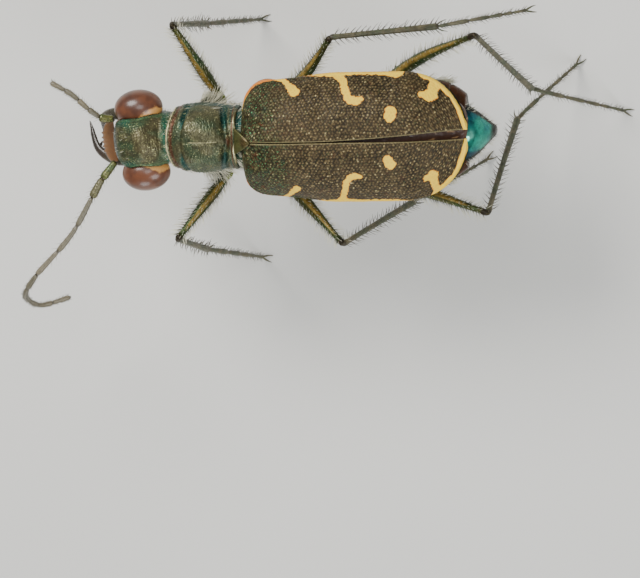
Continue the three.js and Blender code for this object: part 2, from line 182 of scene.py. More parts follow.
def turned(roll: float, yaw: float) -> Array:
    """A turn about the length and then about the upright axis, in degrees.

    Args:
        roll: degrees about the length.
        yaw: degrees about the upright axis.

    Returns:
        The turn as a matrix.
    """
    r, w = math.radians(roll), math.radians(yaw)
    about_x = np.array([[1, 0, 0], [0, math.cos(r), -math.sin(r)], [0, math.sin(r), math.cos(r)]])
    about_z = np.array([[math.cos(w), -math.sin(w), 0], [math.sin(w), math.cos(w), 0], [0, 0, 1]])
    return about_z @ about_x


NECK = np.array([-2.78, 0.03, 4.79])
TRUNK_AXIS = np.array([0, 0, 4.66])
HEAD_PLACE = Place(turned(7.5, 5.8), np.zeros(3), NECK)
TRUNK_PLACE = Place(turned(9.5, 0), TRUNK_AXIS, TRUNK_AXIS + np.array([0, 0.05, 0]))
EYE_CENTRE = np.array([-0.58, 0.7, 0.1])
EYE_SIZE = np.array([0.52, 0.39, 0.4])


def scene_shift() -> Array:
    """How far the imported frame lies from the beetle's own measures, found from an eye's box.

    Returns:
        The shift in millimetres, which is level.
    """
    low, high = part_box("eye_left")
    centre = (np.array(low) + np.array(high)) / 2 / MM
    shift = centre - HEAD_PLACE(EYE_CENTRE * np.array([1, -1, 1]))
    return np.array([shift[0], shift[1], 0.0])


SHIFT = scene_shift()


# Shader maths


class Value:
    """A socket that arithmetic can be written with."""

    def __init__(self, shader: "Shader", socket: Any) -> None:
        """Keeps the shader and the socket."""
        self.shader = shader
        self.socket = socket

    def _math(self, operation: str, first: Any, second: Any = None) -> "Value":
        """One Math node."""
        inputs = {0: first} if second is None else {0: first, 1: second}
        return self.shader.node("ShaderNodeMath", {"operation": operation}, inputs)

    def __add__(self, other: Any) -> "Value":
        """Sum."""
        return self._math("ADD", self, other)

    __radd__ = __add__

    def __sub__(self, other: Any) -> "Value":
        """Difference."""
        return self._math("SUBTRACT", self, other)

    def __rsub__(self, other: Any) -> "Value":
        """Difference, reflected."""
        return self._math("SUBTRACT", other, self)

    def __mul__(self, other: Any) -> "Value":
        """Product."""
        return self._math("MULTIPLY", self, other)

    __rmul__ = __mul__

    def step(self, low: float, high: float, start: float = 0.0, end: float = 1.0) -> "Value":
        """A soft step from start, at low, to end, at high."""
        inputs = {0: self, 1: low, 2: high, 3: start, 4: end}
        return self.shader.node("ShaderNodeMapRange", {"interpolation_type": "SMOOTHSTEP"}, inputs)


class Shader:
    """A material and its nodes."""

    def __init__(self, name: str) -> None:
        """Makes an empty material.

        Args:
            name: the material's name.
        """
        self.material = bpy.data.materials.new(name)
        self.material.use_nodes = True
        self.tree = self.material.node_tree
        self.tree.nodes.clear()
        place = self.node("ShaderNodeTexCoord", output="Object")
        self.place = self.node("ShaderNodeVectorMath", {"operation": "SCALE"}, {0: place, 3: 1 / MM})

    def node(
        self,
        kind: str,
        settings: Optional[dict[str, Any]] = None,
        inputs: Optional[dict[Union[int, str], Any]] = None,
        output: Union[int, str] = 0,
    ) -> Value:
        """Adds a node.

        Args:
            kind: the node's type.
            settings: its properties, or "stops" for a ramp's positions and colours.
            inputs: values or links, by the socket's name or number.
            output: the output that is wanted.

        Returns:
            The output, ready for arithmetic.
        """
        made = self.tree.nodes.new(kind)
        for key, value in (settings or {}).items():
            if key == "stops":
                self._set_stops(made.color_ramp, value)
            else:
                setattr(made, key, value)
        for key, value in (inputs or {}).items():
            if isinstance(value, Value):
                self.tree.links.new(value.socket, made.inputs[key])
            else:
                made.inputs[key].default_value = value
        return Value(self, made.outputs[output] if len(made.outputs) else None)

    @staticmethod
    def _set_stops(ramp: Any, stops: Sequence[tuple[float, Colour]]) -> None:
        """Puts a ramp's colours at their positions.

        Args:
            ramp: the ramp.
            stops: positions and colours.
        """
        while len(ramp.elements) < len(stops):
            ramp.elements.new(0.5)
        for element, (position, colour) in zip(ramp.elements, stops):
            element.position = position
            element.color = (*colour, 1.0)

    def mask(self, name: str) -> Value:
        """A named number of the mesh's points."""
        return self.node("ShaderNodeAttribute", {"attribute_name": name}, output="Fac")

    def noise(self, size: float, detail: float = 3.0, rough: float = 0.55, seed: float = 0.0) -> Value:
        """Cloudy noise.

        Args:
            size: about how large its features are, in millimetres.
            detail: how many finer layers it has.
            rough: how strong the finer layers are.
            seed: moves the noise.

        Returns:
            The noise, 0 to 1 and mostly near the middle.
        """
        place = self.place
        if seed:
            moved = {0: place, 1: (seed, seed * 0.7, -seed)}
            place = self.node("ShaderNodeVectorMath", {"operation": "ADD"}, moved)
        inputs = {"Vector": place, "Scale": 1 / size, "Detail": detail, "Roughness": rough}
        return self.node("ShaderNodeTexNoise", None, inputs)

    def frayed(self, mask: str, cloud: Value, reach: float, low: float, high: float) -> Value:
        """A mask whose edge a cloud frays.

        Args:
            mask: the mask's name.
            cloud: the noise that moves its edge.
            reach: how far it does.
            low: where the mask starts to show.
            high: where it shows in full.

        Returns:
            The mask's share, 0 to 1.
        """
        return (self.mask(mask) + cloud * reach - reach / 2).step(low, high)

    def cells(self, size: float, jitter: float = 1.0) -> Value:
        """Distance to the middle of cells of this many millimetres, about 0 to 0.7."""
        inputs = {"Vector": self.place, "Scale": 1 / size, "Randomness": jitter}
        return self.node("ShaderNodeTexVoronoi", None, inputs)

    def blend(self, share: Any, first: Any, second: Any, kind: str = "MIX") -> Value:
        """A blend of two colours.

        Args:
            share: how much of the second colour shows.
            first: the first colour.
            second: the second colour.
            kind: how they blend.

        Returns:
            The blended colour.
        """
        first = (*first, 1.0) if isinstance(first, tuple) else first
        second = (*second, 1.0) if isinstance(second, tuple) else second
        settings = {"data_type": "RGBA", "blend_type": kind}
        return self.node("ShaderNodeMix", settings, {0: share, 6: first, 7: second}, output=2)

    def relief(
        self, height: Value, depth: float, strength: float = 1.0, normal: Optional[Value] = None
    ) -> Value:
        """A bumped normal from a height.

        Args:
            height: 0 to 1.
            depth: the height's reach in millimetres.
            strength: how much of it shows.
            normal: a normal that is bumped already.

        Returns:
            The normal.
        """
        inputs: dict[Union[int, str], Any] = {"Strength": strength, "Distance": depth * MM, "Height": height}
        if normal is not None:
            inputs["Normal"] = normal
        return self.node("ShaderNodeBump", None, inputs)

    def close(self, **sockets: Any) -> bpy.types.Material:
        """Adds the surface shader and the output.

        Args:
            sockets: values or links; an underscore in a name stands for a space.

        Returns:
            The finished material.
        """
        inputs = {}
        for key, value in sockets.items():
            plain = "Color" in key and isinstance(value, tuple)
            inputs[key.replace("_", " ")] = (*value, 1.0) if plain else value
        surface = self.node("ShaderNodeBsdfPrincipled", None, inputs)
        self.node("ShaderNodeOutputMaterial", None, {"Surface": surface})
        return self.material


# Finishes


@dataclass(frozen=True)
class Cuticle:
    """A hard, more or less metallic skin whose colours drift, with tints where a mask says so."""

    name: str
    base: Colour
    drift: Colour
    glint: Colour
    tints: tuple[tuple[str, Colour], ...] = ()
    metallic: float = 0.55
    roughness: float = 0.36
    patch: float = 0.5
    grain: float = 0.05
    depth: float = 0.006
    glints: float = 0.35
    specular: float = 0.35
    coat: float = 0.08
    coat_roughness: float = 0.22

    def material(self) -> bpy.types.Material:
        """The finish as a material.

        Returns:
            The material.
        """
        shader = Shader(self.name)
        drift = shader.noise(self.patch, 2.0).step(0.4, 0.62)
        colour = shader.blend(drift, self.base, self.drift)
        for mask, tint in self.tints:
            share = shader.frayed(mask, shader.noise(0.16, seed=2.0), 0.5, 0.2, 0.8)
            colour = shader.blend(share, colour, tint)
        speck = shader.noise(self.grain * 0.7, 2.0, 0.6, seed=7.0)
        cluster = shader.noise(0.2, 2.0, 0.5, seed=17.0).step(0.35, 0.65, 0.25, 1.0)
        colour = shader.blend(speck.step(0.56, 0.7) * cluster * self.glints, colour, self.glint)
        shade = shader.noise(0.13, 4.0, 0.7, seed=4.0).step(0.25, 0.75, 0.5, 1.2)
        grey = shader.node("ShaderNodeCombineColor", None, {0: shade, 1: shade, 2: shade})
        colour = shader.blend(1.0, colour, grey, "MULTIPLY")
        rough = shader.noise(0.09).step(0.2, 0.8, self.roughness - 0.1, self.roughness + 0.12)
        normal = shader.relief(shader.cells(self.grain), self.depth, 0.7)
        normal = shader.relief(speck, self.depth * 0.6, 0.5, normal)
        return shader.close(
            Base_Color=colour, Metallic=self.metallic, Roughness=rough, Normal=normal,
            Specular_IOR_Level=self.specular, Coat_Weight=self.coat, Coat_Roughness=self.coat_roughness,
        )


@dataclass(frozen=True)
class WingCaseFinish:
    """Dark brown with rows of lighter dots, which are painted highlights in the pits with some of their own
    green, green and copper glints, and cream-orange markings.
    """

    name: str = "wing_case"
    brown: Colour = tone(31, 25, 13)
    umber: Colour = tone(50, 41, 25)
    # The next two colours are painted highlights in the pits, the second the brightest.
    dot: Colour = tone(118, 100, 66)
    pit_highlight: Colour = tone(206, 190, 138)
    green: Colour = tone(56, 92, 52)
    teal: Colour = tone(24, 62, 50)
    copper: Colour = tone(103, 50, 34)
    cream: Colour = tone(243, 204, 60)
    orange: Colour = tone(206, 122, 40)
    spark: Colour = tone(80, 160, 104)
    seam: Colour = tone(122, 112, 78)
    under: Colour = tone(15, 38, 25)
    specular: float = 0.18

    def material(self) -> bpy.types.Material:
        """The finish as a material.

        Returns:
            The material.
        """
        shader = Shader(self.name)
        base = shader.frayed("base", shader.noise(0.3, seed=5.0), 0.7, 0.25, 0.9)
        mark = shader.frayed("mark", shader.noise(0.04, 3.0, 0.6, seed=1.0), 0.5, 0.4, 0.6)
        colour = shader.blend(mark, self._ground(shader, base), self._cream(shader))
        rough = shader.noise(0.07).step(0.2, 0.8, 0.4, 0.56)
        metal = (1.0 - mark) * (0.12 + base * 0.3)
        normal = shader.relief(shader.noise(0.022, 3.0, 0.6), 0.004, 0.6)
        return shader.close(
            Base_Color=colour, Metallic=metal, Roughness=rough, Normal=normal,
            Specular_IOR_Level=self.specular,
        )

    def _ground(self, shader: Shader, base: Value) -> Value:
        """The dark ground with its dots, which are painted highlights in the pits, glints, seam and
        underside.

        Args:
            shader: the material.
            base: how green the place is, 0 to 1.

        Returns:
            The colour.
        """
        colour = shader.blend(shader.noise(0.5).step(0.35, 0.65), self.brown, self.umber)
        fine = shader.noise(0.02, 3.0, 0.7, seed=8.0).step(0.5, 0.72)
        colour = shader.blend(fine * 0.35, colour, self.dot)
        dark = shader.noise(0.03, 2.0, 0.6, seed=21.0).step(0.5, 0.7)
        colour = shader.blend(dark * 0.5, colour, dimmed(self.brown))
        # Lighter pits, whitest where the cloud peaks and green towards the front: painted highlights in the
        # pits, with their own green.
        lit = shader.noise(0.06, 3.0, 0.6, seed=3.0)
        spot = shader.blend(base * 0.45, self.dot, self.green)
        spot = shader.blend(lit.step(0.58, 0.7), spot, self.pit_highlight)
        colour = shader.blend(shader.mask("dot") * lit.step(0.36, 0.62, 0.2, 0.8), colour, spot)
        gleam = shader.noise(0.13, 2.0, seed=9.0).step(0.52, 0.7)
        colour = shader.blend(base * (0.06 + gleam * 0.35), colour, self.teal)
        glow = shader.noise(0.16, seed=13.0).step(0.6, 0.74)
        colour = shader.blend(glow * (0.14 + base * 0.2), colour, self.copper)
        glint = shader.noise(0.032, 2.0, 0.6, seed=31.0).step(0.6, 0.68)
        hue = shader.noise(0.05, 1.0, seed=33.0).step(0.47, 0.53)
        sparks = shader.blend(hue, self.copper, self.spark)
        colour = shader.blend(glint * (0.12 + base * 0.7), colour, sparks)
        colour = shader.blend(shader.mask("rim").step(0.3, 0.7) * 0.85, colour, self.under)
        return shader.blend(shader.mask("bead").step(0.3, 0.8) * 0.7, colour, self.seam)

    def _cream(self, shader: Shader) -> Value:
        """The markings' colour, cream in their middle and orange towards their edge.

        Args:
            shader: the material.

        Returns:
            The colour.
        """
        warmth = shader.frayed("core", shader.noise(0.14), 0.5, 0.15, 0.8)
        cream = shader.blend(warmth, self.orange, self.cream)
        return shader.blend(shader.mask("dot") * 0.2, cream, self.orange)


@dataclass(frozen=True)
class EyeFinish:
    """Glossy red-brown with tiny facets and pale patches at the rim."""

    name: str = "eye_facets"
    brown: Colour = tone(104, 60, 36)
    dark: Colour = tone(72, 40, 25)
    pale: Colour = tone(208, 152, 84)

    def material(self) -> bpy.types.Material:
        """The finish as a material.

        Returns:
            The material.
        """
        shader = Shader(self.name)
        colour = shader.blend(shader.noise(0.35, 2.0).step(0.35, 0.65), self.brown, self.dark)
        pale = shader.frayed("pale", shader.noise(0.12, seed=3.0), 0.7, 0.4, 0.7)
        colour = shader.blend(pale, colour, self.pale)
        facet = shader.cells(0.02, 0.25)
        colour = shader.blend(facet.step(0.3, 0.6) * 0.25, colour, self.dark)
        return shader.close(
            Base_Color=colour, Roughness=0.34, Normal=shader.relief(facet, 0.002, 0.35),
            Coat_Weight=0.35, Coat_Roughness=0.2, Specular_IOR_Level=0.4,
        )


@dataclass(frozen=True)
class HornFinish:
    """Horny brown material that runs from a root colour to a tip colour along a part."""

    name: str
    root: Colour
    tip: Colour
    start: float = 0.3
    end: float = 0.9
    band: Optional[tuple[str, Colour]] = None
    metallic: float = 0.0
    roughness: float = 0.34

    def material(self) -> bpy.types.Material:
        """The finish as a material.

        Returns:
            The material.
        """
        shader = Shader(self.name)
        run = shader.frayed("along", shader.noise(0.2, 2.0), 0.24, self.start, self.end)
        colour = shader.blend(run, self.root, self.tip)
        if self.band:
            share = shader.frayed(self.band[0], shader.noise(0.1, 2.0, seed=4.0), 0.4, 0.25, 0.75)
            colour = shader.blend(share, colour, self.band[1])
        mottle = shader.noise(0.06, 4.0, 0.65, seed=6.0).step(0.25, 0.75)
        colour = shader.blend(mottle * 0.35, colour, dimmed(self.root))
        rough = shader.noise(0.08, 2.0).step(0.2, 0.8, self.roughness - 0.08, self.roughness + 0.12)
        normal = shader.relief(shader.noise(0.035, 3.0, 0.6), 0.006, 0.6)
        return shader.close(
            Base_Color=colour, Metallic=self.metallic, Roughness=rough, Normal=normal, Coat_Weight=0.3,
            Coat_Roughness=0.15,
        )


@dataclass(frozen=True)
class HairFinish:
    """Stiff hairs, a little darker at the root."""

    name: str
    colour: Colour
    root: Colour
    roughness: float = 0.42

    def material(self) -> bpy.types.Material:
        """The finish as a material.

        Returns:
            The material.
        """
        shader = Shader(self.name)
        run = shader.mask("along").step(0.0, 0.6)
        colour = shader.blend(run, self.root, self.colour)
        colour = shader.blend(shader.noise(0.25, 2.0).step(0.35, 0.7) * 0.3, colour, self.root)
        return shader.close(Base_Color=colour, Roughness=self.roughness, Subsurface_Weight=0.05)


class Finish(Enum):
    """Every finish of the beetle."""

    FOREHEAD = Cuticle(
        "forehead", tone(84, 78, 52), tone(66, 84, 58), tone(190, 190, 130),
        (
            ("side", tone(30, 82, 62)), ("front", tone(20, 44, 34)), ("rim", tone(84, 116, 74)),
            ("dark", tone(16, 14, 10)),
        ),
        grain=0.055, roughness=0.4, glints=0.7,
    )
    COLLAR = Cuticle(
        "breastplate", tone(84, 82, 56), tone(66, 78, 54), tone(186, 184, 128),
        (
            ("side", tone(26, 62, 50)), ("groove", tone(14, 64, 56)), ("copper", tone(84, 54, 34)),
            ("cream", tone(205, 196, 150)),
        ),
        grain=0.055, roughness=0.4, glints=0.65,
    )
    WAIST = Cuticle(
        "waist", tone(13, 66, 60), tone(26, 56, 42), tone(120, 160, 112), grain=0.04, roughness=0.4
    )
    SHIELD = Cuticle("shield", tone(80, 64, 34), tone(84, 86, 48), tone(150, 138, 84), grain=0.035)
    BELLY = Cuticle(
        "belly_plates", tone(18, 48, 36), tone(18, 44, 51), tone(93, 118, 86), (("edge", tone(74, 42, 20)),),
        metallic=0.6, roughness=0.34,
    )
    LAST_PLATE = Cuticle(
        "last_plate", tone(36, 150, 130), tone(22, 104, 112), tone(120, 210, 190),
        # On the last plate, the first tint is painted shade at its sides, the second a painted highlight near
        # its front, and the third painted shade round its rim and tip.
        (("deep", tone(10, 52, 66)), ("shine", tone(112, 206, 182)), ("edge", tone(34, 33, 28))),
        metallic=0.7, roughness=0.18, grain=0.05, depth=0.001, glints=0.2,
    )
    # The thigh's golden streak tint is a painted highlight along its top.
    THIGH = Cuticle(
        "thigh", tone(72, 74, 38), tone(52, 74, 42), tone(161, 154, 68),
        (("streak", tone(156, 128, 62)), ("knee", tone(38, 30, 17))), roughness=0.34, patch=0.35, grain=0.03,
    )
    SHIN = Cuticle(
        "shin", tone(98, 92, 70), tone(78, 82, 62), tone(180, 172, 128), (("knee", tone(48, 42, 30)),),
        metallic=0.15, roughness=0.42, patch=0.3, grain=0.026,
    )
    HIP = Cuticle(
        "hip", tone(22, 43, 26), tone(41, 48, 26), tone(104, 119, 76), (("green", tone(103, 116, 35)),),
        metallic=0.5, patch=0.3,
    )
    HIND_HIP = Cuticle(
        "hind_hip", tone(20, 37, 31), tone(32, 43, 27), tone(104, 119, 86), (("green", tone(41, 86, 74)),),
        metallic=0.5, patch=0.3,
    )
    SCAPE = Cuticle(
        "feeler_base", tone(96, 97, 50), tone(66, 80, 44), tone(190, 188, 96),
        (("far", tone(96, 92, 66)), ("knee", tone(54, 43, 26))),
        metallic=0.4, roughness=0.32, grain=0.03, patch=0.25, glints=0.5,
    )
    FEELER = HornFinish(
        "feeler", tone(101, 95, 75), tone(115, 106, 84), band=("knee", tone(66, 59, 45)), roughness=0.48
    )
    LIP = HornFinish("lip", tone(103, 67, 34), tone(122, 81, 38), 0.2, 0.9, ("edge", tone(58, 33, 13)))
    JAW = HornFinish(
        "jaw", tone(78, 58, 40), tone(44, 38, 31), 0.25, 0.7, ("pale", tone(60, 56, 42)), 0.1, 0.3
    )
    PALP = HornFinish(
        "mouth_feeler", tone(163, 109, 44), tone(39, 76, 43), 0.62, 0.7, ("knee", tone(89, 55, 26)), 0.1, 0.32
    )
    MUZZLE = HornFinish("muzzle", tone(92, 66, 40), tone(70, 50, 32), roughness=0.6)
    NECK_SKIN = HornFinish("neck_skin", tone(42, 34, 19), tone(31, 25, 14), roughness=0.5)
    FOLDED_WING = HornFinish(
        "folded_wing", tone(52, 27, 14), tone(84, 48, 26), 0.1, 0.9, ("vein", tone(196, 150, 98)),
        roughness=0.5,
    )
    WING_CASE = WingCaseFinish()
    EYE = EyeFinish()
    WHITE_HAIR = HairFinish("white_hair", tone(234, 230, 204), tone(96, 96, 78))
    GREY_HAIR = HairFinish("grey_hair", tone(97, 92, 73), tone(56, 52, 40))

    def material(self) -> bpy.types.Material:
        """The finish's material, made once."""
        found = bpy.data.materials.get(self.value.name)
        return found or self.value.material()


# Meshes


@dataclass
class Skin:
    """Points, faces and masks of a piece, in millimetres of the model."""

    points: Array
    faces: list[tuple[int, ...]]
    masks: dict[str, Array] = field(default_factory=dict)
    patches: Optional[Array] = None

    @staticmethod
    def join(skins: Iterable["Skin"]) -> "Skin":
        """Several skins as one.

        Args:
            skins: the skins.

        Returns:
            One skin, with 0 where a skin lacks a mask.
        """
        skins = [s for s in skins if len(s.points)]
        names = sorted({name for s in skins for name in s.masks})
        faces: list[tuple[int, ...]] = []
        start = 0
        for s in skins:
            faces.extend(tuple(i + start for i in f) for f in s.faces)
            start += len(s.points)
        masks = {n: np.concatenate([s.masks.get(n, np.zeros(len(s.points))) for s in skins]) for n in names}
        patches = None
        if all(s.patches is not None for s in skins):
            patches = np.concatenate([s.patches for s in skins])
        return Skin(np.concatenate([s.points for s in skins]), faces, masks, patches)

    def mirrored(self) -> "Skin":
        """The skin on the other side."""
        faces = [face[::-1] for face in self.faces]
        return Skin(self.points * np.array([1, -1, 1]), faces, self.masks, self.patches)

    def placed(self, place: Place) -> "Skin":
        """The skin in the model."""
        return Skin(place(self.points), self.faces, self.masks, self.patches)

    def piece(self, name: str, finish: Finish, slot: str, *nodes: str) -> bpy.types.Object:
        """Makes the piece.

        Args:
            name: the piece's name.
            finish: its finish.
            slot: a material slot's name; not used.
            nodes: the solids that it stands for.

        Returns:
            The object.
        """
        mesh = bpy.data.meshes.new(name)
        mesh.from_pydata(((self.points + SHIFT) * MM).tolist(), [], self.faces)
        mesh.update()
        work = bmesh.new()
        work.from_mesh(mesh)
        bmesh.ops.recalc_face_normals(work, faces=work.faces)
        work.to_mesh(mesh)
        work.free()
        for mask, values in self.masks.items():
            layer = mesh.attributes.new(mask, "FLOAT", "POINT")
            layer.data.foreach_set("value", values.astype(np.float32))
        if self.patches is not None:
            corners = np.zeros(len(mesh.loops), np.int32)
            mesh.loops.foreach_get("vertex_index", corners)
            layer = mesh.uv_layers.new(name="OFBake")
            layer.data.foreach_set("uv", self.patches[corners].astype(np.float32).ravel())
        mesh.shade_smooth()
        made = bpy.data.objects.new(name, mesh)
        bpy.context.scene.collection.objects.link(made)
        made.data.materials.append(finish.material())
        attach(made, "root")
        if nodes:
            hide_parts(*nodes)
        LOG.info("%s: %d points, %d faces", name, len(self.points), len(self.faces))
        return made


def rings_skin(rings: Array, masks: Optional[dict[str, Array]] = None) -> Skin:
    """A closed skin over a row of closed rings.

    Args:
        rings: points by ring, place on the ring, and axis.
        masks: numbers by ring and place on the ring.

    Returns:
        The skin, with a flat face over each end.
    """
    count, sides = rings.shape[:2]
    index = np.arange(count * sides).reshape(count, sides)
    ahead = np.roll(index, -1, axis=1)
    quads = np.stack([index[:-1], ahead[:-1], ahead[1:], index[1:]], axis=-1).reshape(-1, 4)
    faces = [tuple(q) for q in quads.tolist()]
    faces.append(tuple(index[0][::-1].tolist()))
    faces.append(tuple(index[-1].tolist()))
    flat = {name: np.asarray(values, float).reshape(-1) for name, values in (masks or {}).items()}
    return Skin(rings.reshape(-1, 3), faces, flat)


def ring_normals(rings: Array) -> Array:
    """Outward normals of a row of rings.

    Args:
        rings: points by ring and place on it.

    Returns:
        The directions.
    """
    along = np.gradient(rings, axis=0)
    around = np.roll(rings, -1, axis=1) - np.roll(rings, 1, axis=1)
    normals = unit(np.cross(around, along))
    outward = rings - rings.mean(axis=1, keepdims=True)
    return normals * np.sign((normals * outward).sum(axis=(-1), keepdims=True).mean() or 1.0)


class Route:
    """A smooth line through points, measured by share of its length."""

    FINENESS = 60

    def __init__(self, points: Sequence[Any]) -> None:
        """Lays the line out finely.

        Args:
            points: what it passes through, in order.
        """
        p = np.array(points, float)
        p = np.vstack([2 * p[0] - p[1], p, 2 * p[-1] - p[-2]])
        parts = []
        for i in range(1, len(p) - 2):
            step = [p[j + 1] - p[j] for j in (i - 1, i, i + 1)]
            gap = [math.sqrt(float(np.linalg.norm(s))) for s in step]
            ahead = step[1] / gap[1]
            start = step[0] / gap[0] - (p[i + 1] - p[i - 1]) / (gap[0] + gap[1]) + ahead
            end = ahead - (p[i + 2] - p[i]) / (gap[1] + gap[2]) + step[2] / gap[2]
            t = np.linspace(0, 1, self.FINENESS, endpoint=i == len(p) - 3)[:, None]
            parts.append(
                (2 * t**3 - 3 * t**2 + 1) * p[i] + (t**3 - 2 * t**2 + t) * start * gap[1]
                + (3 * t**2 - 2 * t**3) * p[i + 1] + (t**3 - t**2) * end * gap[1]
            )
        self.line = np.vstack(parts)
        steps = np.linalg.norm(np.diff(self.line, axis=0), axis=1)
        self.length = float(steps.sum())
        self.shares = np.concatenate([[0], np.cumsum(steps)]) / self.length
        self.tangents = unit(np.gradient(self.line, axis=0))
        self.normals = self._carried_normals()

    def _carried_normals(self) -> Array:
        """Normals that turn as little as they can along the line, upward at its start.

        Returns:
            The normals.
        """
        normals = np.zeros_like(self.line)
        first = self.tangents[0]
        up = np.array([0, 0, 1.0]) if abs(first[2]) < 0.98 else np.array([1.0, 0, 0])
        normals[0] = unit(up - first * (up @ first))
        for i in range(1, len(self.line)):
            turned_normal = normals[i - 1] - self.tangents[i] * (normals[i - 1] @ self.tangents[i])
            normals[i] = unit(turned_normal)
        return normals

    def _read(self, table: Array, shares: Array) -> Array:
        """A table along the line, at some shares."""
        return np.stack([np.interp(shares, self.shares, table[:, k]) for k in range(3)], axis=-1)

    def at(self, shares: Array) -> Array:
        """Points on the line, and straight on past its ends.

        Args:
            shares: places, as shares of its length.

        Returns:
            A point for each share.
        """
        inside = self._read(self.line, shares)
        over = np.maximum(shares - 1, 0)[..., None] * self.length * self.tangents[-1]
        under = np.minimum(shares, 0)[..., None] * self.length * self.tangents[0]
        return inside + over + under

    def frames(self, shares: Array) -> tuple[Array, Array, Array]:
        """Tangent, upward normal and sideways direction at some shares.

        Args:
            shares: places, as shares of its length.

        Returns:
            The three, by share.
        """
        tangents = unit(self._read(self.tangents, shares))
        normals = self._read(self.normals, shares)
        normals = unit(normals - tangents * (normals * tangents).sum(-1, keepdims=True))
        return tangents, normals, np.cross(normals, tangents)


@dataclass
class Limb:
    """A round part along a route, whose radius follows stops of share and millimetres."""

    route: Route
    stops: Pairs
    rings: int = 60
    sides: int = 18
    flat: tuple[float, float] = (1.0, 1.0)
    masks: dict[str, Pairs] = field(default_factory=dict)
    wobble: float = 0.003
    ROOT_DEPTH: ClassVar[float] = 0.93

    def skin(self) -> Skin:
        """The limb's closed skin.

        Returns:
            The skin.
        """
        shares = np.linspace(self.stops[0][0], self.stops[-1][0], self.rings)
        radii = self.radius(shares)
        soft = np.convolve(np.pad(radii, 1, mode="edge"), [0.25, 0.5, 0.25], "valid")
        soft[0], soft[-1] = radii[0], radii[-1]
        angle = np.linspace(0, 2 * math.pi, self.sides, endpoint=False)
        _, normals, across = self.route.frames(shares)
        up = normals[:, None] * (np.cos(angle) * self.flat[0])[None, :, None]
        sideways = across[:, None] * (np.sin(angle) * self.flat[1])[None, :, None]
        rings = self.route.at(shares)[:, None] + (up + sideways) * soft[:, None, None]
        rings += unit(up + sideways) * (ripple(rings, 0.09) * self.wobble)[..., None]
        masks = {name: self._around(between(pairs, shares)) for name, pairs in self.masks.items()}
        masks["along"] = self._around(np.clip(shares, 0, 1))
        # The streak, a painted highlight, is kept to the top of the limb.
        if "streak" in masks:
            masks["streak"] = masks["streak"] * np.clip(np.cos(angle - 0.35) * 3.2 - 2.3, 0, 1)[None]
        return rings_skin(rings, masks)

    def _around(self, values: Array) -> Array:
        """One value a ring, repeated round the ring."""
        return np.repeat(values[:, None], self.sides, 1)

    def radius(self, shares: Array) -> Array:
        """The radius at some shares."""
        return between(self.stops, shares)

    def spots(self, shares: Array, angles: Array) -> tuple[Array, Array, Array]:
        """Where bristles are rooted, a little under the skin.

        Args:
            shares: places along the limb.
            angles: turns from its top, in radians.

        Returns:
            The points, the directions outward and the directions along the limb.
        """
        tangents, normals, across = self.route.frames(shares)
        up = normals * (np.cos(angles) * self.flat[0])[:, None]
        outward = up + across * (np.sin(angles) * self.flat[1])[:, None]
        points = self.route.at(shares) + outward * (self.radius(shares) * self.ROOT_DEPTH)[:, None]
        return points, unit(outward), tangents


def spike(points: Sequence[Any], stops: Pairs, rings: int, sides: int) -> Skin:
    """A small tapered part through a few points."""
    return Limb(Route(points), stops, rings=rings, sides=sides).skin()


@dataclass
class Hairs:
    """Tapered hairs, each from a root along a start direction and bent by a curl."""

    roots: Array
    starts: Array
    curls: Array
    lengths: Array
    thickness: float = 0.006
    steps: int = 4
    TAPER: ClassVar[float] = 0.86

    def skin(self) -> Skin:
        """Every hair as a closed three-sided spike, with its own small patch.

        Returns:
            All the hairs as one skin.
        """
        t = np.linspace(0, 1, self.steps)
        start, curl = self.starts[:, None, :], self.curls[:, None, :]
        bent = start * t[None, :, None] + curl * (t**2)[None, :, None]
        path = self.roots[:, None, :] + self.lengths[:, None, None] * bent
        tangent = unit(start + 2 * curl * t[None, :, None])
        helper = np.where(np.abs(self.starts[:, 2:3]) < 0.9, [[0, 0, 1.0]], [[1.0, 0, 0]])
        aside = unit(np.cross(tangent, helper[:, None, :]))
        other = np.cross(tangent, aside)
        radius = self.thickness * (1 - self.TAPER * t**1.5)
        angle = np.arange(3) * 2 * math.pi / 3
        cosine, sine = np.cos(angle)[None, None, :, None], np.sin(angle)[None, None, :, None]
        ring = aside[:, :, None] * cosine + other[:, :, None] * sine
        points = path[:, :, None] + ring * radius[None, :, None, None]
        along = np.tile(np.repeat(t, 3), len(self.roots))
        return Skin(points.reshape(-1, 3), self._faces(), {"along": along}, self._patches(t))

    def _faces(self) -> list[tuple[int, ...]]:
        """The faces of every hair: three walls a step, and a cap at each end.

        Returns:
            The faces as point numbers.
        """
        base = np.arange(self.steps * 3).reshape(self.steps, 3)
        ahead = np.roll(base, -1, axis=1)
        walls = np.stack([base[:-1], ahead[:-1], ahead[1:], base[1:]], axis=-1).reshape(-1, 4)
        first = (np.arange(len(self.roots)) * self.steps * 3)[:, None, None]
        quads = (walls[None] + first).reshape(-1, 4)
        caps = (np.array([base[0][::-1], base[-1]])[None] + first).reshape(-1, 3)
        return [tuple(face) for face in [*quads.tolist(), *caps.tolist()]]

    def _patches(self, t: Array) -> Array:
        """A small patch of the baking map for each hair, placed by where it is rooted.

        Args:
            t: the steps along a hair, 0 to 1.

        Returns:
            A place on the map for each point.
        """
        low, high = self.roots.min(axis=0), self.roots.max(axis=0)
        spread = (self.roots - low) / np.maximum(high - low, 1e-6) * 0.49
        upper = self.roots[:, 2] > (low[2] + high[2]) / 2
        corner = np.stack([spread[:, 0] + 0.5 * upper, spread[:, 1] * 2], axis=-1)
        local = np.stack(np.meshgrid(t * 0.003, np.arange(3) * 0.001, indexing="ij"), axis=-1)
        return (corner[:, None] * 0.98 + 0.005 + local.reshape(-1, 2)[None]).reshape(-1, 2)


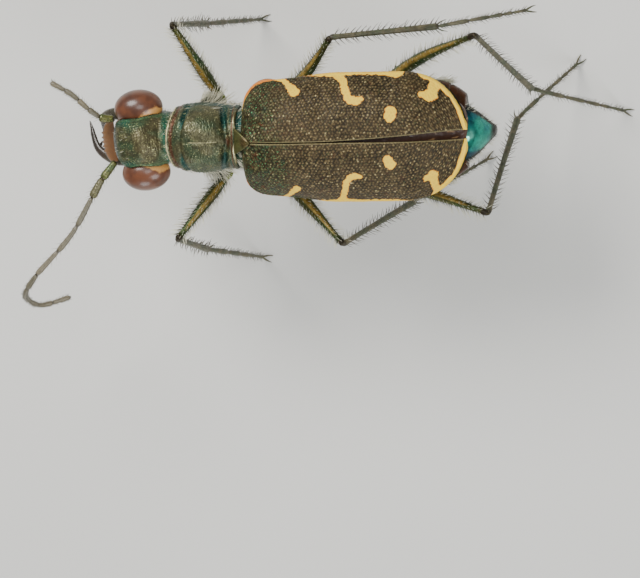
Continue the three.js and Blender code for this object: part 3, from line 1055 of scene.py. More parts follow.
def comb(
    limb: Limb, shares: tuple[float, float], angles: Sequence[float], count: int, length: float, lean: float,
    seed: int, thickness: float = 0.006, curl: float = 0.15,
) -> Skin:
    """Rows of bristles along a limb.

    Args:
        limb: the limb that carries them.
        shares: where the rows start and end.
        angles: where each row is, in degrees from the top.
        count: bristles in a row.
        length: their middle length.
        lean: how far they lean towards the limb's far end.
        seed: for their unevenness.
        thickness: radius at the root.
        curl: how far they bend on.

    Returns:
        The rows as one skin.
    """
    random = np.random.default_rng(seed)
    total = count * len(angles)
    place = np.tile(np.linspace(*shares, count), len(angles))
    place = np.clip(place + random.normal(0, 0.006, total), 0.005, 0.995)
    angle = np.radians(np.repeat(angles, count)) + random.normal(0, 0.14, total)
    points, outward, ahead = limb.spots(place, angle)
    leaning = ahead * (lean + random.normal(0, 0.14, total))[:, None]
    start = unit(outward + leaning + random.normal(0, 0.07, (total, 3)))
    bend = ahead * curl + random.normal(0, 0.05, (total, 3))
    lengths = length * random.uniform(0.65, 1.25, total)
    return Hairs(points, start, bend, lengths, thickness).skin()


@dataclass
class Barrel:
    """A part of the body along X, with curves for its top, bottom and half width."""

    front: float
    back: float
    half_width: Pairs
    top: Pairs
    bottom: Pairs
    power: float = 2.2
    lower: float = 1.9
    shift: float = 0.0
    rounding: tuple[float, float] = (0.06, 0.06)
    stations: int = 110
    sides: int = 130
    grain: float = 0.004

    def spot(self, x: Array, angle: Array, scale: Any = 1.0) -> Array:
        """Points of the plain form.

        Args:
            x: places along the body.
            angle: turn from the top towards the right, in radians.
            scale: share of the section's size.

        Returns:
            The points, in the part's own frame.
        """
        width, top, bottom = through(self.half_width)(x), through(self.top)(x), through(self.bottom)(x)
        up, out = np.cos(angle), np.sin(angle)
        power = np.where(up > 0, self.power, self.lower)
        height = np.sign(up) * np.abs(up) ** (2 / power)
        reach = np.sign(out) * np.abs(out) ** (2 / power)
        y = self.shift + reach * width * scale
        z = (top + bottom) / 2 + height * (top - bottom) / 2 * scale
        return np.stack([x * np.ones_like(y), y, z], axis=-1)

    def relief(self, p: Array, angle: Array) -> Array:
        """How far the skin stands out of the plain form."""
        return np.zeros(p.shape[:2])

    def masks(self, p: Array, angle: Array) -> dict[str, Array]:
        """The masks of the finish."""
        return {}

    def skin(self) -> Skin:
        """The closed skin with rounded ends and its relief.

        Returns:
            The skin.
        """
        turn = np.linspace(0.12, math.pi / 2, 10)
        lead, trail = self.rounding
        first, last = self.front + lead, self.back - trail
        middle = np.linspace(first, last, self.stations)[1:-1]
        x = np.concatenate([first - lead * np.cos(turn), middle, last + trail * np.cos(turn[::-1])])
        scale = np.concatenate([np.sin(turn), np.ones(len(middle)), np.sin(turn[::-1])])
        angle = np.linspace(-math.pi, math.pi, self.sides, endpoint=False)
        xs, angles = np.meshgrid(x, angle, indexing="ij")
        rings = self.spot(xs, angles, scale[:, None])
        lift = self.relief(rings, angles) + ripple(rings, 0.07) * self.grain
        lift = lift + ripple(rings, 0.031, 2.0) * self.grain * 0.5
        shown = np.clip(scale * 1.5 - 0.5, 0, 1)[:, None]
        masks = self.masks(rings, angles)
        return rings_skin(rings + ring_normals(rings) * (lift * shown)[..., None], masks)


@dataclass
class HeadCapsule(Barrel):
    """The head without its eyes: wide, wrinkled beside the eyes, with a front that drops to the lip."""

    def _near_eye(self, p: Array) -> Array:
        """Distance from the eyes as a share of their size."""
        mirrored = np.stack([p[..., 0], np.abs(p[..., 1]), p[..., 2]], axis=-1)
        return np.linalg.norm((mirrored - EYE_CENTRE) / EYE_SIZE, axis=-1)

    def relief(self, p: Array, angle: Array) -> Array:
        """The orbits' ridges, the wrinkles, the dented forehead and the neck's groove.

        Args:
            p: points of the plain form.
            angle: their turns from the top, in radians.

        Returns:
            The lift in millimetres.
        """
        x, y, z = p[..., 0], p[..., 1], p[..., 2]
        near = self._near_eye(p)
        upper = smooth(np.cos(angle), 0.1, 0.6)
        lift = 0.03 * bump(near, 1.08, 0.12) * upper
        wrinkle = np.sin(2 * math.pi * (np.abs(y) + 0.03 * np.sin(x * 7)) / 0.045)
        lift += 0.006 * wrinkle * smooth(np.abs(y), 0.12, 0.25) * upper * smooth(x, -1.1, -0.95)
        lift += 0.007 * ripple(p * np.array([1.0, 1.3, 0.4]), 0.07, 5.0) * bump(y, 0, 0.3) * upper
        lift -= 0.035 * bump(np.abs(y), 0.24, 0.1) * bump(x, -0.8, 0.16) * upper
        lift -= 0.03 * bump(x, -0.12, 0.06) * upper
        lift -= 0.05 * smooth(-z, 0.0, 0.5) * bump(x, -0.95, 0.12)
        return lift

    def masks(self, p: Array, angle: Array) -> dict[str, Array]:
        """Green beside the eyes, teal cheeks and a copper front.

        Args:
            p: points of the plain form.
            angle: their turns from the top, in radians.

        Returns:
            The masks by name.
        """
        x, y, z = p[..., 0], p[..., 1], p[..., 2]
        near = self._near_eye(p)
        rim = 0.5 * bump(near, 1.2, 0.1) * smooth(z, 0.05, 0.35)
        side = np.maximum(smooth(0.15 - z, 0.0, 0.3), smooth(np.abs(y), 0.24, 0.5) * smooth(-x, 0.55, 0.85))
        side = 0.9 * np.maximum(side, 0.8 * bump(x, 0.02, 0.12))
        front = 0.9 * smooth(-x, 1.02, 1.12)
        return {"rim": rim, "side": side, "front": front, "dark": 0.9 * bump(near, 1.04, 0.05)}


@dataclass
class Breastplate(Barrel):
    """The prothorax: a disc between two cross grooves, split by a fine line along its middle."""

    def spot(self, x: Array, angle: Array, scale: Any = 1.0) -> Array:
        """Points of the form, whose front edge curves back towards its sides.

        Args:
            x: places along the body.
            angle: their turns from the top, in radians.
            scale: share of the section's size.

        Returns:
            The points, in the part's own frame.
        """
        p = super().spot(x, angle, scale)
        p[..., 0] += 0.17 * (p[..., 1] / 0.68) ** 2 * smooth(-p[..., 0], 2.35, 2.79)
        return p

    def relief(self, p: Array, angle: Array) -> Array:
        """Cross grooves, the middle line, swollen flanks and fine wrinkles.

        Args:
            p: points of the plain form.
            angle: their turns from the top, in radians.

        Returns:
            The lift in millimetres.
        """
        x, y = p[..., 0], p[..., 1]
        bow = self._bow(y)
        upper = smooth(np.cos(angle), -0.1, 0.35)
        lift = -0.06 * bump(x, -2.45 + 0.14 * bow, 0.055) * upper
        lift -= 0.07 * bump(x, -1.46 - 0.1 * bow + 0.04 * bump(y, 0, 0.12), 0.055) * upper
        lift += 0.03 * bump(x, -1.94, 0.36) * bump(np.abs(y), 0.38, 0.3) * upper
        lift -= 0.02 * bump(y, 0, 0.014) * smooth(x, -2.4, -2.3) * smooth(-x, 1.52, 1.6) * upper
        lift += 0.02 * bump(x, -2.74 + 0.17 * bow, 0.03) + 0.022 * bump(x, -1.28 - 0.03 * bow, 0.03)
        lift += 0.006 * ripple(p * np.array([1.0, 1.0, 0.4]), 0.075, 4.0) * upper
        lift += 0.004 * ripple(p * np.array([1.0, 1.6, 1.0]), 0.04, 1.0) * upper
        lift -= 0.05 * bump(angle * np.sign(y), 1.75, 0.09) * smooth(x, -2.6, -2.4)
        return lift

    def masks(self, p: Array, angle: Array) -> dict[str, Array]:
        """Teal grooves, brown and cream lines beside the edges, and dark green flanks.

        Args:
            p: points of the plain form.
            angle: their turns from the top, in radians.

        Returns:
            The masks by name.
        """
        x, y = p[..., 0], p[..., 1]
        bow = self._bow(y)
        outer = smooth(np.abs(y), 0.15, 0.55)
        fore = bump(x, -2.45 + 0.14 * bow, 0.08) * (0.25 + 0.75 * outer)
        rear = bump(x, -1.45 - 0.1 * bow, 0.08) * (0.45 + 0.55 * outer)
        groove = np.maximum(np.maximum(fore, rear), 0.6 * bump(x, -1.36, 0.05) * outer)
        copper = bump(x, -2.66 + 0.17 * bow, 0.055) + 0.8 * bump(x, -1.31 - 0.03 * bow, 0.022)
        copper += 0.9 * bump(x, -1.4, 0.07) * bump(y, 0, 0.2)
        wave = 0.016 * np.sin(y * 11) + 0.05 * bump(y, 0.1, 0.2)
        cream = 1.2 * bump(x, -2.75 + 0.17 * bow, 0.024)
        cream += bump(x, -1.28 + wave, 0.018) * (1 - smooth(np.abs(y), 0.4, 0.62))
        cream += 0.6 * bump(y, 0, 0.012) * smooth(x, -2.3, -2.2) * smooth(-x, 1.55, 1.65)
        found = {"groove": groove, "copper": np.clip(copper, 0, 1) * 0.9, "cream": np.clip(cream, 0, 1) * 0.9}
        found["side"] = smooth(np.abs(angle), 1.05, 1.5)
        return found

    @staticmethod
    def _bow(y: Array) -> Array:
        """How far the cross lines are bent towards the flanks."""
        return (np.abs(y) / 0.7) ** 2


@dataclass
class Plates(Barrel):
    """The underside of the trunk: overlapping plates, each with a sunk seam."""

    seams: tuple[float, ...] = ()
    slant: float = 0.0
    soft_top: float = 0.0
    # How much painted shade and painted highlight a plate gets; only the last plate has them.
    painted_light: float = 0.0

    def relief(self, p: Array, angle: Array) -> Array:
        """A step at each seam.

        Args:
            p: points of the plain form.
            angle: their turns from the top, in radians.

        Returns:
            The lift in millimetres.
        """
        x = p[..., 0] - self.slant * np.cos(angle)
        lift = np.zeros(x.shape)
        for seam in self.seams:
            lift -= 0.03 * bump(x, seam, 0.02)
            lift += 0.018 * smooth(x, seam - 0.3, seam - 0.03) * smooth(-x, -seam, -seam + 0.02)
        return lift

    def masks(self, p: Array, angle: Array) -> dict[str, Array]:
        """Brown edges beside the seams and a brown top; on the last plate, painted shade at its rim, tip and
        sides, and a painted highlight on its middle.

        Args:
            p: points of the plain form.
            angle: their turns from the top, in radians.

        Returns:
            The masks by name.
        """
        x = p[..., 0] - self.slant * np.cos(angle)
        edge = self.soft_top * smooth(np.cos(angle), -0.1, 0.15)
        # The last plate's dark rim and tip: painted shade.
        rim = smooth(np.abs(angle), 0.95, 1.3) + 0.9 * smooth(x, 3.96, 4.12)
        edge = np.maximum(edge, self.painted_light * np.clip(rim, 0, 1))
        for seam in self.seams:
            edge = np.maximum(edge, bump(x, seam - 0.02, 0.035))
        # A pale spot on the last plate's middle, near its front: a painted highlight.
        shine = bump(x, 3.66, 0.14) * bump(p[..., 1], -0.02, 0.12)
        # Darker at the last plate's sides and across its front: painted shade.
        deep = 0.8 * smooth(np.abs(p[..., 1]), 0.25, 0.5) + 0.5 * bump(x, 3.45, 0.1)
        deep = np.clip(deep, 0, 1)
        return {"edge": edge * 0.9, "shine": shine * self.painted_light, "deep": deep * self.painted_light}


HEAD_SHAPE = dict(
    front=-1.21, back=0.26, power=2.4, lower=2.1, rounding=(0.14, 0.1), stations=130, sides=190,
    half_width=(
        (-1.21, 0.34), (-1.1, 0.43), (-0.9, 0.54), (-0.55, 0.57), (-0.25, 0.6), (0, 0.55), (0.26, 0.5),
    ),
    top=((-1.21, 0.3), (-1.12, 0.46), (-0.97, 0.63), (-0.54, 0.84), (-0.2, 0.7), (0, 0.63), (0.26, 0.55)),
    bottom=(
        (-1.21, -0.3), (-1.1, -0.34), (-0.78, -0.5), (-0.54, -0.82), (-0.15, -0.7), (0, -0.62), (0.26, -0.55),
    ),
)
BREASTPLATE_SHAPE = dict(
    front=-2.79, back=-1.22, rounding=(0.05, 0.04), stations=210, sides=230, grain=0.003,
    half_width=(
        (-2.79, 0.62), (-2.7, 0.66), (-2.45, 0.72), (-2.05, 0.75), (-1.66, 0.72), (-1.5, 0.68), (-1.22, 0.67),
    ),
    top=(
        (-2.79, 5.42), (-2.62, 5.45), (-2.4, 5.58), (-2.03, 5.63), (-1.68, 5.57), (-1.5, 5.47), (-1.34, 5.47),
        (-1.22, 5.44),
    ),
    bottom=((-2.79, 4.2), (-2.2, 3.98), (-1.6, 3.94), (-1.22, 4.08)),
)
WAIST_SHAPE = dict(
    front=-1.3, back=-0.9, rounding=(0.03, 0.03), stations=40, sides=110,
    half_width=((-1.3, 0.56), (-1.15, 0.66), (-0.9, 0.86)), top=((-1.3, 5.36), (-1.15, 5.44), (-0.9, 5.46)),
    bottom=((-1.3, 4.5), (-0.9, 4.5)),
)
THORAX_SHAPE = dict(
    front=-1.28, back=1.12, seams=(-0.72, 0.12), slant=0.16, rounding=(0.12, 0.04),
    half_width=((-1.28, 0.55), (-0.8, 0.8), (-0.2, 0.97), (1.12, 1.04)),
    top=((-1.28, 4.98), (-0.7, 5.05), (0, 5.06), (1.12, 4.92)),
    bottom=((-1.28, 4.05), (-0.6, 3.78), (0.4, 3.7), (1.12, 3.78)),
)
ABDOMEN_SHAPE = dict(
    front=1.02, back=3.6, seams=(1.55, 2.02, 2.46, 2.88, 3.25), soft_top=1.0, power=2.3, lower=1.8,
    rounding=(0.04, 0.05),
    half_width=((1.02, 1.02), (2.3, 1.1), (2.9, 1.12), (3.3, 1.0), (3.6, 0.78)),
    top=((1.02, 4.92), (2.3, 4.75), (3.0, 4.55), (3.6, 4.32)),
    bottom=((1.02, 3.8), (1.8, 3.68), (2.7, 3.62), (3.6, 3.6)),
)
# The last plate takes painted shade at its rim, tip and sides, and a painted highlight.
LAST_PLATE_SHAPE = dict(
    front=3.3, back=4.15, painted_light=1.0, power=1.6, lower=1.8, shift=-0.04, rounding=(0.03, 0.03),
    stations=90, sides=110, grain=0.0008,
    half_width=((3.3, 0.74), (3.55, 0.64), (3.8, 0.45), (4.0, 0.24), (4.15, 0.08)),
    top=((3.3, 4.58), (3.6, 4.53), (3.78, 4.42), (3.98, 4.12), (4.15, 3.74)),
    bottom=((3.3, 3.62), (3.9, 3.54), (4.15, 3.52)),
)
MUZZLE_SHAPE = dict(
    front=-1.26, back=-0.7, rounding=(0.08, 0.05), stations=50, sides=70, power=2.6, lower=2.2,
    half_width=((-1.26, 0.34), (-1.1, 0.46), (-0.7, 0.5)), top=((-1.26, -0.28), (-1.15, -0.1), (-0.7, 0.05)),
    bottom=((-1.26, -0.5), (-1.0, -0.72), (-0.7, -0.82)),
)
NECK_SHAPE = dict(
    front=-3.0, back=-2.4, rounding=(0.05, 0.05), stations=30, sides=70,
    half_width=((-3.0, 0.5), (-2.4, 0.6)), top=((-3.0, 5.36), (-2.4, 5.4)),
    bottom=((-3.0, 4.22), (-2.4, 4.2)),
)
FOLDED_WINGS_SHAPE = dict(
    front=-0.9, back=3.66, power=2.0, lower=2.2, shift=0.06, rounding=(0.05, 0.08), stations=150, sides=140,
    half_width=((-0.9, 0.5), (1.0, 0.72), (2.2, 0.84), (2.8, 0.9), (3.2, 0.86), (3.5, 0.6), (3.66, 0.36)),
    top=((-0.9, 5.4), (1.0, 5.3), (2.33, 5.1), (3.0, 4.86), (3.66, 4.56)),
    bottom=((-0.9, 4.9), (2.0, 4.8), (3.0, 4.4), (3.66, 4.2)), grain=0.008,
)
LOCK_SIZES = (0.34, 0.29, 0.31)
LOCK_STRENGTH = 0.35
EYE_PATCHES = (
    ((0.72, -0.36, 0.6), 0.46, 1.0), ((0.3, -0.62, 0.72), 0.36, 1.0), ((-0.3, -0.68, 0.66), 0.26, 0.6),
    ((0.72, 0.1, -0.68), 0.34, 1.0), ((0.1, -0.2, -1.0), 0.24, 1.0), ((0.95, -0.3, 0.1), 0.22, 1.0),
)
JAW_STOPS = (
    (-0.04, 0.09), (0.05, 0.15), (0.3, 0.125), (0.6, 0.09), (0.85, 0.055), (0.97, 0.022), (1.0, 0.006),
)
PALP_STOPS = (
    (-0.22, 0.04), (0.0, 0.045), (0.14, 0.055), (0.3, 0.05), (0.33, 0.034), (0.36, 0.05), (0.6, 0.056),
    (0.64, 0.034), (0.68, 0.048), (0.9, 0.06), (0.97, 0.048), (1.0, 0.015),
)
HIP_STOPS = ((-0.1, 0.1), (0, 0.2), (0.15, 0.27), (0.5, 0.27), (0.8, 0.2), (0.95, 0.13), (1.0, 0.07))
JOINT_STOPS = ((0, 0.04), (0.12, 0.085), (0.45, 0.11), (0.8, 0.095), (1, 0.05))
SHIN_STOPS = (
    (-0.012, 0.03), (0.0, 0.06), (0.03, 0.07), (0.08, 0.058), (0.5, 0.061), (0.9, 0.072), (0.975, 0.078),
    (1.0, 0.058), (1.008, 0.03),
)
FOOT_JOINTS = (0.0, 0.34, 0.56, 0.72, 0.83, 1.0)


def fur(
    barrel: Barrel, place: Place, x: tuple[float, float], angles: tuple[float, float], count: int,
    length: float, lean: Point, curl: Point, stand: float, seed: int, thickness: float = 0.006,
    unevenness: float = 0.16,
) -> Skin:
    """Hair on part of a barrel.

    Args:
        barrel: the form that carries it.
        place: where the barrel is.
        x: where along the body it grows.
        angles: between which turns from the top, in degrees, towards the right.
        count: how many hairs.
        length: their middle length.
        lean: the direction that they lean in.
        curl: the direction that they bend in.
        stand: how far they stand off the skin.
        seed: for their unevenness.
        thickness: radius at the root.
        unevenness: spread of the directions.

    Returns:
        The hairs as one skin.
    """
    random = np.random.default_rng(seed)
    along = random.uniform(*x, count)
    turn = np.radians(random.uniform(*angles, count))
    roots = barrel.spot(along, turn, 0.995)
    outward = unit(barrel.spot(along, turn, 1.05) - roots)
    lock = np.stack([ripple(roots, size, seed) for size in LOCK_SIZES], axis=-1)
    uneven = random.normal(0, unevenness, (count, 3))
    start = unit(outward * stand + np.array(lean) + LOCK_STRENGTH * lock + uneven)
    bend = np.array(curl) + random.normal(0, unevenness * 0.6, (count, 3))
    lengths = length * random.uniform(0.55, 1.3, count)
    return Hairs(place(roots), place.direction(start), place.direction(bend), lengths, thickness).skin()


def flank(sign: int, upper: float, lower: float) -> tuple[float, float]:
    """Two turns from the top on one side, 1 for the right and -1 for the left, in rising order."""
    return (upper, lower) if sign > 0 else (-lower, -upper)


# Head


@dataclass
class Head:
    """The head with its eyes, lip, jaws and mouth feelers."""

    capsule: HeadCapsule = field(default_factory=lambda: HeadCapsule(**HEAD_SHAPE))
    jaw_left: tuple[Point, ...] = (
        (-0.8, -0.36, -0.66), (-1.29, -0.46, -0.76), (-1.73, -0.22, -0.94), (-1.91, 0.4, -1.18)
    )
    jaw_right: tuple[Point, ...] = (
        (-0.84, 0.42, -0.66), (-1.24, 0.54, -0.72), (-1.55, 0.46, -0.95), (-1.64, 0.02, -1.36)
    )
    maxillary: tuple[Point, ...] = (
        (-0.7, 0.3, -0.84), (-0.93, 0.36, -0.98), (-1.12, 0.4, -1.26), (-1.66, 0.44, -1.4)
    )
    labial: tuple[Point, ...] = (
        (-0.46, 0.14, -0.94), (-0.38, 0.2, -1.2), (-0.32, 0.24, -1.5), (-0.72, 0.22, -1.74)
    )

    def build(self) -> None:
        """Makes every piece of the head."""
        capsule = self.capsule.skin().placed(HEAD_PLACE)
        capsule.piece("head_capsule", Finish.FOREHEAD, "bronze_cuticle", "head")
        self._muzzle().placed(HEAD_PLACE).piece("muzzle", Finish.MUZZLE, "labrum")
        for side in Side:
            eye = self._eye() if side is Side.RIGHT else self._eye().mirrored()
            name = f"eye_{side.label}"
            eye.placed(HEAD_PLACE).piece(f"{name}_facets", Finish.EYE, "eye", name)
        self._lip().placed(HEAD_PLACE).piece("lip_plate", Finish.LIP, "labrum", "labrum")
        for side, points in zip(Side, (self.jaw_left, self.jaw_right)):
            jaw = self._jaw(points).placed(HEAD_PLACE)
            jaw.piece(f"jaw_{side.label}", Finish.JAW, "mandible", f"mandible_{side.label}")
        bristles = [self._face_hair()]
        for side in Side:
            for kind, points in (("maxillary", self.maxillary), ("labial", self.labial)):
                palp = self._palp([(x, y * side.value, z) for x, y, z in points], kind)
                skin = palp.skin().placed(HEAD_PLACE)
                skin.piece(f"{kind}_feeler_{side.label}", Finish.PALP, "palp", f"{kind}_palp_{side.label}")
                bristles.append(self._palp_hair(palp, kind))
        Skin.join(bristles).piece("face_bristles", Finish.WHITE_HAIR, "palp")

    def _eye(self) -> Skin:
        """The right eye, with pale patches on its inner and lower rear rim.

        Returns:
            The skin.
        """
        lat = np.linspace(0.04, math.pi - 0.04, 46)
        lon = np.linspace(0, 2 * math.pi, 72, endpoint=False)
        a, b = np.meshgrid(lat, lon, indexing="ij")
        q = np.stack([np.sin(a) * np.cos(b), -np.cos(a), np.sin(a) * np.sin(b)], axis=-1)
        pale = np.zeros(a.shape)
        for direction, reach, strength in EYE_PATCHES:
            pale += strength * bump(np.linalg.norm(q - unit(np.array(direction)), axis=-1), 0, reach)
        return rings_skin(EYE_CENTRE + q * EYE_SIZE * 1.01, {"pale": np.clip(pale, 0, 1)})

    def _muzzle(self) -> Skin:
        """The plate over the lip and the stout base of the jaws."""
        return Barrel(**MUZZLE_SHAPE).skin()

    def _lip(self) -> Skin:
        """The lip plate, rounded at the sides, with small teeth along its front edge.

        Returns:
            The skin.
        """
        rows, depth, overlap, lean = 16, 0.21, 0.16, math.radians(35)
        u = np.linspace(-0.995, 0.995, 90)
        tooth = 0.05 * sum(bump(u, c, 0.055) for c in (-0.46, -0.22, 0.0, 0.22, 0.46))
        reach = depth * (1 - np.abs(u) ** 3.2) ** 0.5 + tooth
        v = np.linspace(0, 1, rows)
        top = np.concatenate([v, v[::-1][1:-1]])
        up = np.concatenate([np.ones(rows), -np.ones(rows - 2)])
        lens = np.sin(np.clip(top, 0.0, 1.0) * math.pi) ** 0.5 * 0.03 + 0.012
        along = overlap - (overlap + reach[:, None]) * top[None]
        rise = up * lens * (1 - 0.5 * np.abs(u[:, None]) ** 4)
        rise = rise + 0.03 * bump(u, 0, 0.5)[:, None] * (1 - top)[None]
        x = -1.37 + along * math.cos(lean) - rise * math.sin(lean)
        z = -0.44 + along * math.sin(lean) + rise * math.cos(lean)
        y = -0.02 + 0.43 * u[:, None] * np.ones_like(x)
        edge = np.broadcast_to(smooth(top, 0.8, 1.0), x.shape)
        masks = {"along": np.broadcast_to(top, x.shape), "edge": edge}
        return rings_skin(np.stack([x, y, z], axis=-1), masks)

    def _jaw(self, points: Sequence[Point]) -> Skin:
        """A curved jaw with three teeth on its inner edge.

        Args:
            points: what it passes through, in order.

        Returns:
            The skin.
        """
        route = Route(points)
        pale = {"pale": ((0, 0.2), (0.35, 1), (0.6, 0))}
        parts = [Limb(route, JAW_STOPS, rings=90, sides=26, flat=(0.72, 1.05), masks=pale).skin()]
        for share, length in ((0.34, 0.2), (0.5, 0.17), (0.64, 0.13)):
            at = route.at(np.array([share]))[0]
            tangent = route.frames(np.array([share]))[0][0]
            aim = unit(np.array([-1.15, 0, at[2] - 0.12]) - at)
            aim = unit(aim - tangent * (aim @ tangent) + tangent * 0.35)
            root = at + aim * 0.03
            line = (root, root + aim * length * 0.6, root + aim * length + tangent * 0.03)
            tooth = spike(line, ((0, 0.06), (0.5, 0.034), (1, 0.006)), 18, 12)
            tooth.masks["along"] = 0.45 + 0.5 * tooth.masks["along"]
            parts.append(tooth)
        return Skin.join(parts)

    def _palp(self, points: Sequence[Point], kind: str) -> Limb:
        """A mouth feeler of four joints.

        Args:
            points: what it passes through, in order.
            kind: maxillary or labial.

        Returns:
            The limb.
        """
        dark = ((0.3, 0), (0.33, 1), (0.36, 0), (0.6, 0), (0.64, 1), (0.68, 0))
        thick = 1.1 if kind == "labial" else 0.95
        stops = tuple((s, r * thick) for s, r in PALP_STOPS)
        return Limb(Route(points), stops, rings=80, sides=16, masks={"knee": dark}, wobble=0.002)

    def _palp_hair(self, palp: Limb, kind: str) -> Skin:
        """Long hairs on the third joint of the lower feelers, and a few on the upper ones.

        Args:
            palp: the mouth feeler.
            kind: maxillary or labial.

        Returns:
            The skin.
        """
        if kind == "labial":
            hair = comb(palp, (0.2, 0.62), (150, 190, 235), 9, 0.34, 0.25, 4, 0.005, 0.3)
        else:
            hair = comb(palp, (0.2, 0.6), (60, 200), 5, 0.16, 0.5, 5, 0.004)
        return hair.placed(HEAD_PLACE)

    def _face_hair(self) -> Skin:
        """White hair on the cheeks and single bristles on the forehead and lip.

        Returns:
            The skin.
        """
        grow = partial(fur, self.capsule, HEAD_PLACE)
        parts = []
        for sign, seed in ((1, 1), (-1, 2)):
            cheek = flank(sign, 118, 165)
            parts.append(grow((-0.75, -0.05), cheek, 260, 0.16, (0.2, 0, -0.5), (0.1, 0, -0.2), 0.7, seed))
        parts.append(grow((-1.1, -0.7), (-28, 28), 12, 0.1, (-0.6, 0, 0.2), (-0.1, 0, 0), 0.8, 3, 0.004))
        return Skin.join(parts)


# Feelers


@dataclass
class Feeler:
    """An antenna in three sections, of which the first two are metallic green."""

    side: Side
    scape: tuple[Point, ...]
    middle: tuple[Point, ...]
    tip: tuple[Point, ...]
    counts: tuple[int, int, int]
    SIZES: ClassVar[Pairs] = ((0.09, 0.094), (0.068, 0.064), (0.066, 0.056))

    def _segments(self, count: int, start: float, end: float, last: bool) -> Pairs:
        """Radii of a row of joints that each widen towards their far end.

        Args:
            count: how many joints.
            start: the first radius.
            end: the last radius.
            last: whether the section ends the feeler.

        Returns:
            Stops of share and radius.
        """
        stops: list[tuple[float, float]] = []
        for i in range(count):
            radius = start + (end - start) * (i + 1) / count
            shape = ((0.0, 0.5), (0.08, 0.78), (0.82, 1.0), (0.96, 0.86))
            stops += [((i + share) / count, radius * wide) for share, wide in shape]
        stops.append((1.0, end * 0.5))
        if last:
            stops.append((1.012, end * 0.1))
        return stops

    def build(self) -> None:
        """Makes the three sections and their bristles."""
        label = self.side.label
        routes = {"scape": self.scape, "middle": self.middle, "tip": self.tip}
        bristles = []
        for (name, points), count, (start, end) in zip(routes.items(), self.counts, self.SIZES):
            last = name == "tip"
            ring = ((-0.09, 0), (0, 1), (0.09, 0))
            knees = [((i + d) / count, v) for i in range(count + 1) for d, v in ring]
            masks = {"knee": knees, "far": ((1 / count, 0), (1 / count + 0.06, 0.9))}
            stops = self._segments(count, start, end, last)
            limb = Limb(Route(points), stops, rings=26 * count + 20, sides=16, masks=masks, wobble=0.002)
            finish = Finish.SCAPE if name == "scape" else Finish.FEELER
            slot = "antenna" if last else "antenna_base"
            limb.skin().piece(f"feeler_{label}_{name}", finish, slot, f"antenna_{label}_{name}")
            per_row, length = (14 * count, 0.06) if last else (5 * count, 0.1)
            rows = range(0, 360, 72)
            bristles.append(comb(limb, (0.03, 0.99), rows, per_row, length, 0.9, 11 + count, 0.005))
        Skin.join(bristles).piece(f"feeler_{label}_bristles", Finish.GREY_HAIR, "antenna")


# Wing cases


# The points of each marking: place along the body, reach and half width. The reach is from the middle
# line, or, below zero, from the edge.
MARKINGS: dict[Side, tuple[tuple[tuple[float, float, float], ...], ...]] = {
    Side.LEFT: (
        (
            (-1.12, -0.16, 0.12), (-1.0, -0.13, 0.09), (-0.5, -0.11, 0.06), (-0.26, -0.18, 0.06),
            (-0.14, 1.2, 0.055), (-0.03, 1.1, 0.078), (0.06, 1.03, 0.082),
        ),
        (
            (0.32, -0.15, 0.03), (0.55, -0.16, 0.09), (1.0, -0.18, 0.14), (1.6, -0.16, 0.12),
            (2.2, -0.16, 0.11), (2.45, -0.14, 0.03),
        ),
        (
            (0.93, -0.2, 0.1), (1.02, 1.26, 0.072), (1.09, 1.05, 0.068), (1.14, 0.88, 0.07),
            (1.22, 0.79, 0.078), (1.33, 0.76, 0.076), (1.44, 0.78, 0.05),
        ),
        ((2.06, 0.41, 0.105), (2.11, 0.52, 0.118)),
        ((2.82, 0.86, 0.08), (2.9, 0.81, 0.11), (2.99, 0.83, 0.09)),
        ((2.96, 0.86, 0.085), (2.99, -0.34, 0.07), (3.02, -0.2, 0.1)),
        (
            (2.86, -0.12, 0.03), (2.98, -0.16, 0.12), (3.2, -0.16, 0.135), (3.42, -0.16, 0.14),
            (3.55, -0.17, 0.165), (3.63, -0.2, 0.21), (3.68, -0.22, 0.26),
        ),
    ),
    Side.RIGHT: (
        (
            (-1.12, -0.2, 0.17), (-0.98, -0.16, 0.12), (-0.44, -0.14, 0.07), (-0.22, -0.24, 0.06),
            (-0.09, 1.16, 0.075), (0.0, 1.09, 0.105), (0.06, 1.04, 0.11),
        ),
        (
            (0.2, -0.12, 0.03), (0.5, -0.16, 0.11), (0.8, -0.17, 0.14), (1.2, -0.15, 0.115),
            (1.7, -0.15, 0.115), (2.0, -0.16, 0.13), (2.18, -0.19, 0.17), (2.32, -0.13, 0.05),
        ),
        (
            (0.9, -0.2, 0.12), (1.07, 1.26, 0.085), (1.14, 1.07, 0.085), (1.21, 0.93, 0.09),
            (1.29, 0.87, 0.1), (1.4, 0.86, 0.1), (1.5, 0.9, 0.055),
        ),
        ((2.12, 0.51, 0.12), (2.13, 0.62, 0.13)),
        ((2.76, 0.94, 0.07), (2.88, 0.91, 0.11), (3.0, 0.96, 0.1)),
        ((2.97, 0.97, 0.1), (3.0, -0.32, 0.1), (3.04, -0.2, 0.1)),
        (
            (2.62, -0.1, 0.03), (2.74, -0.16, 0.1), (2.98, -0.16, 0.135), (3.2, -0.15, 0.125),
            (3.42, -0.15, 0.13), (3.55, -0.16, 0.15), (3.63, -0.18, 0.19), (3.68, -0.2, 0.23),
        ),
    ),
}


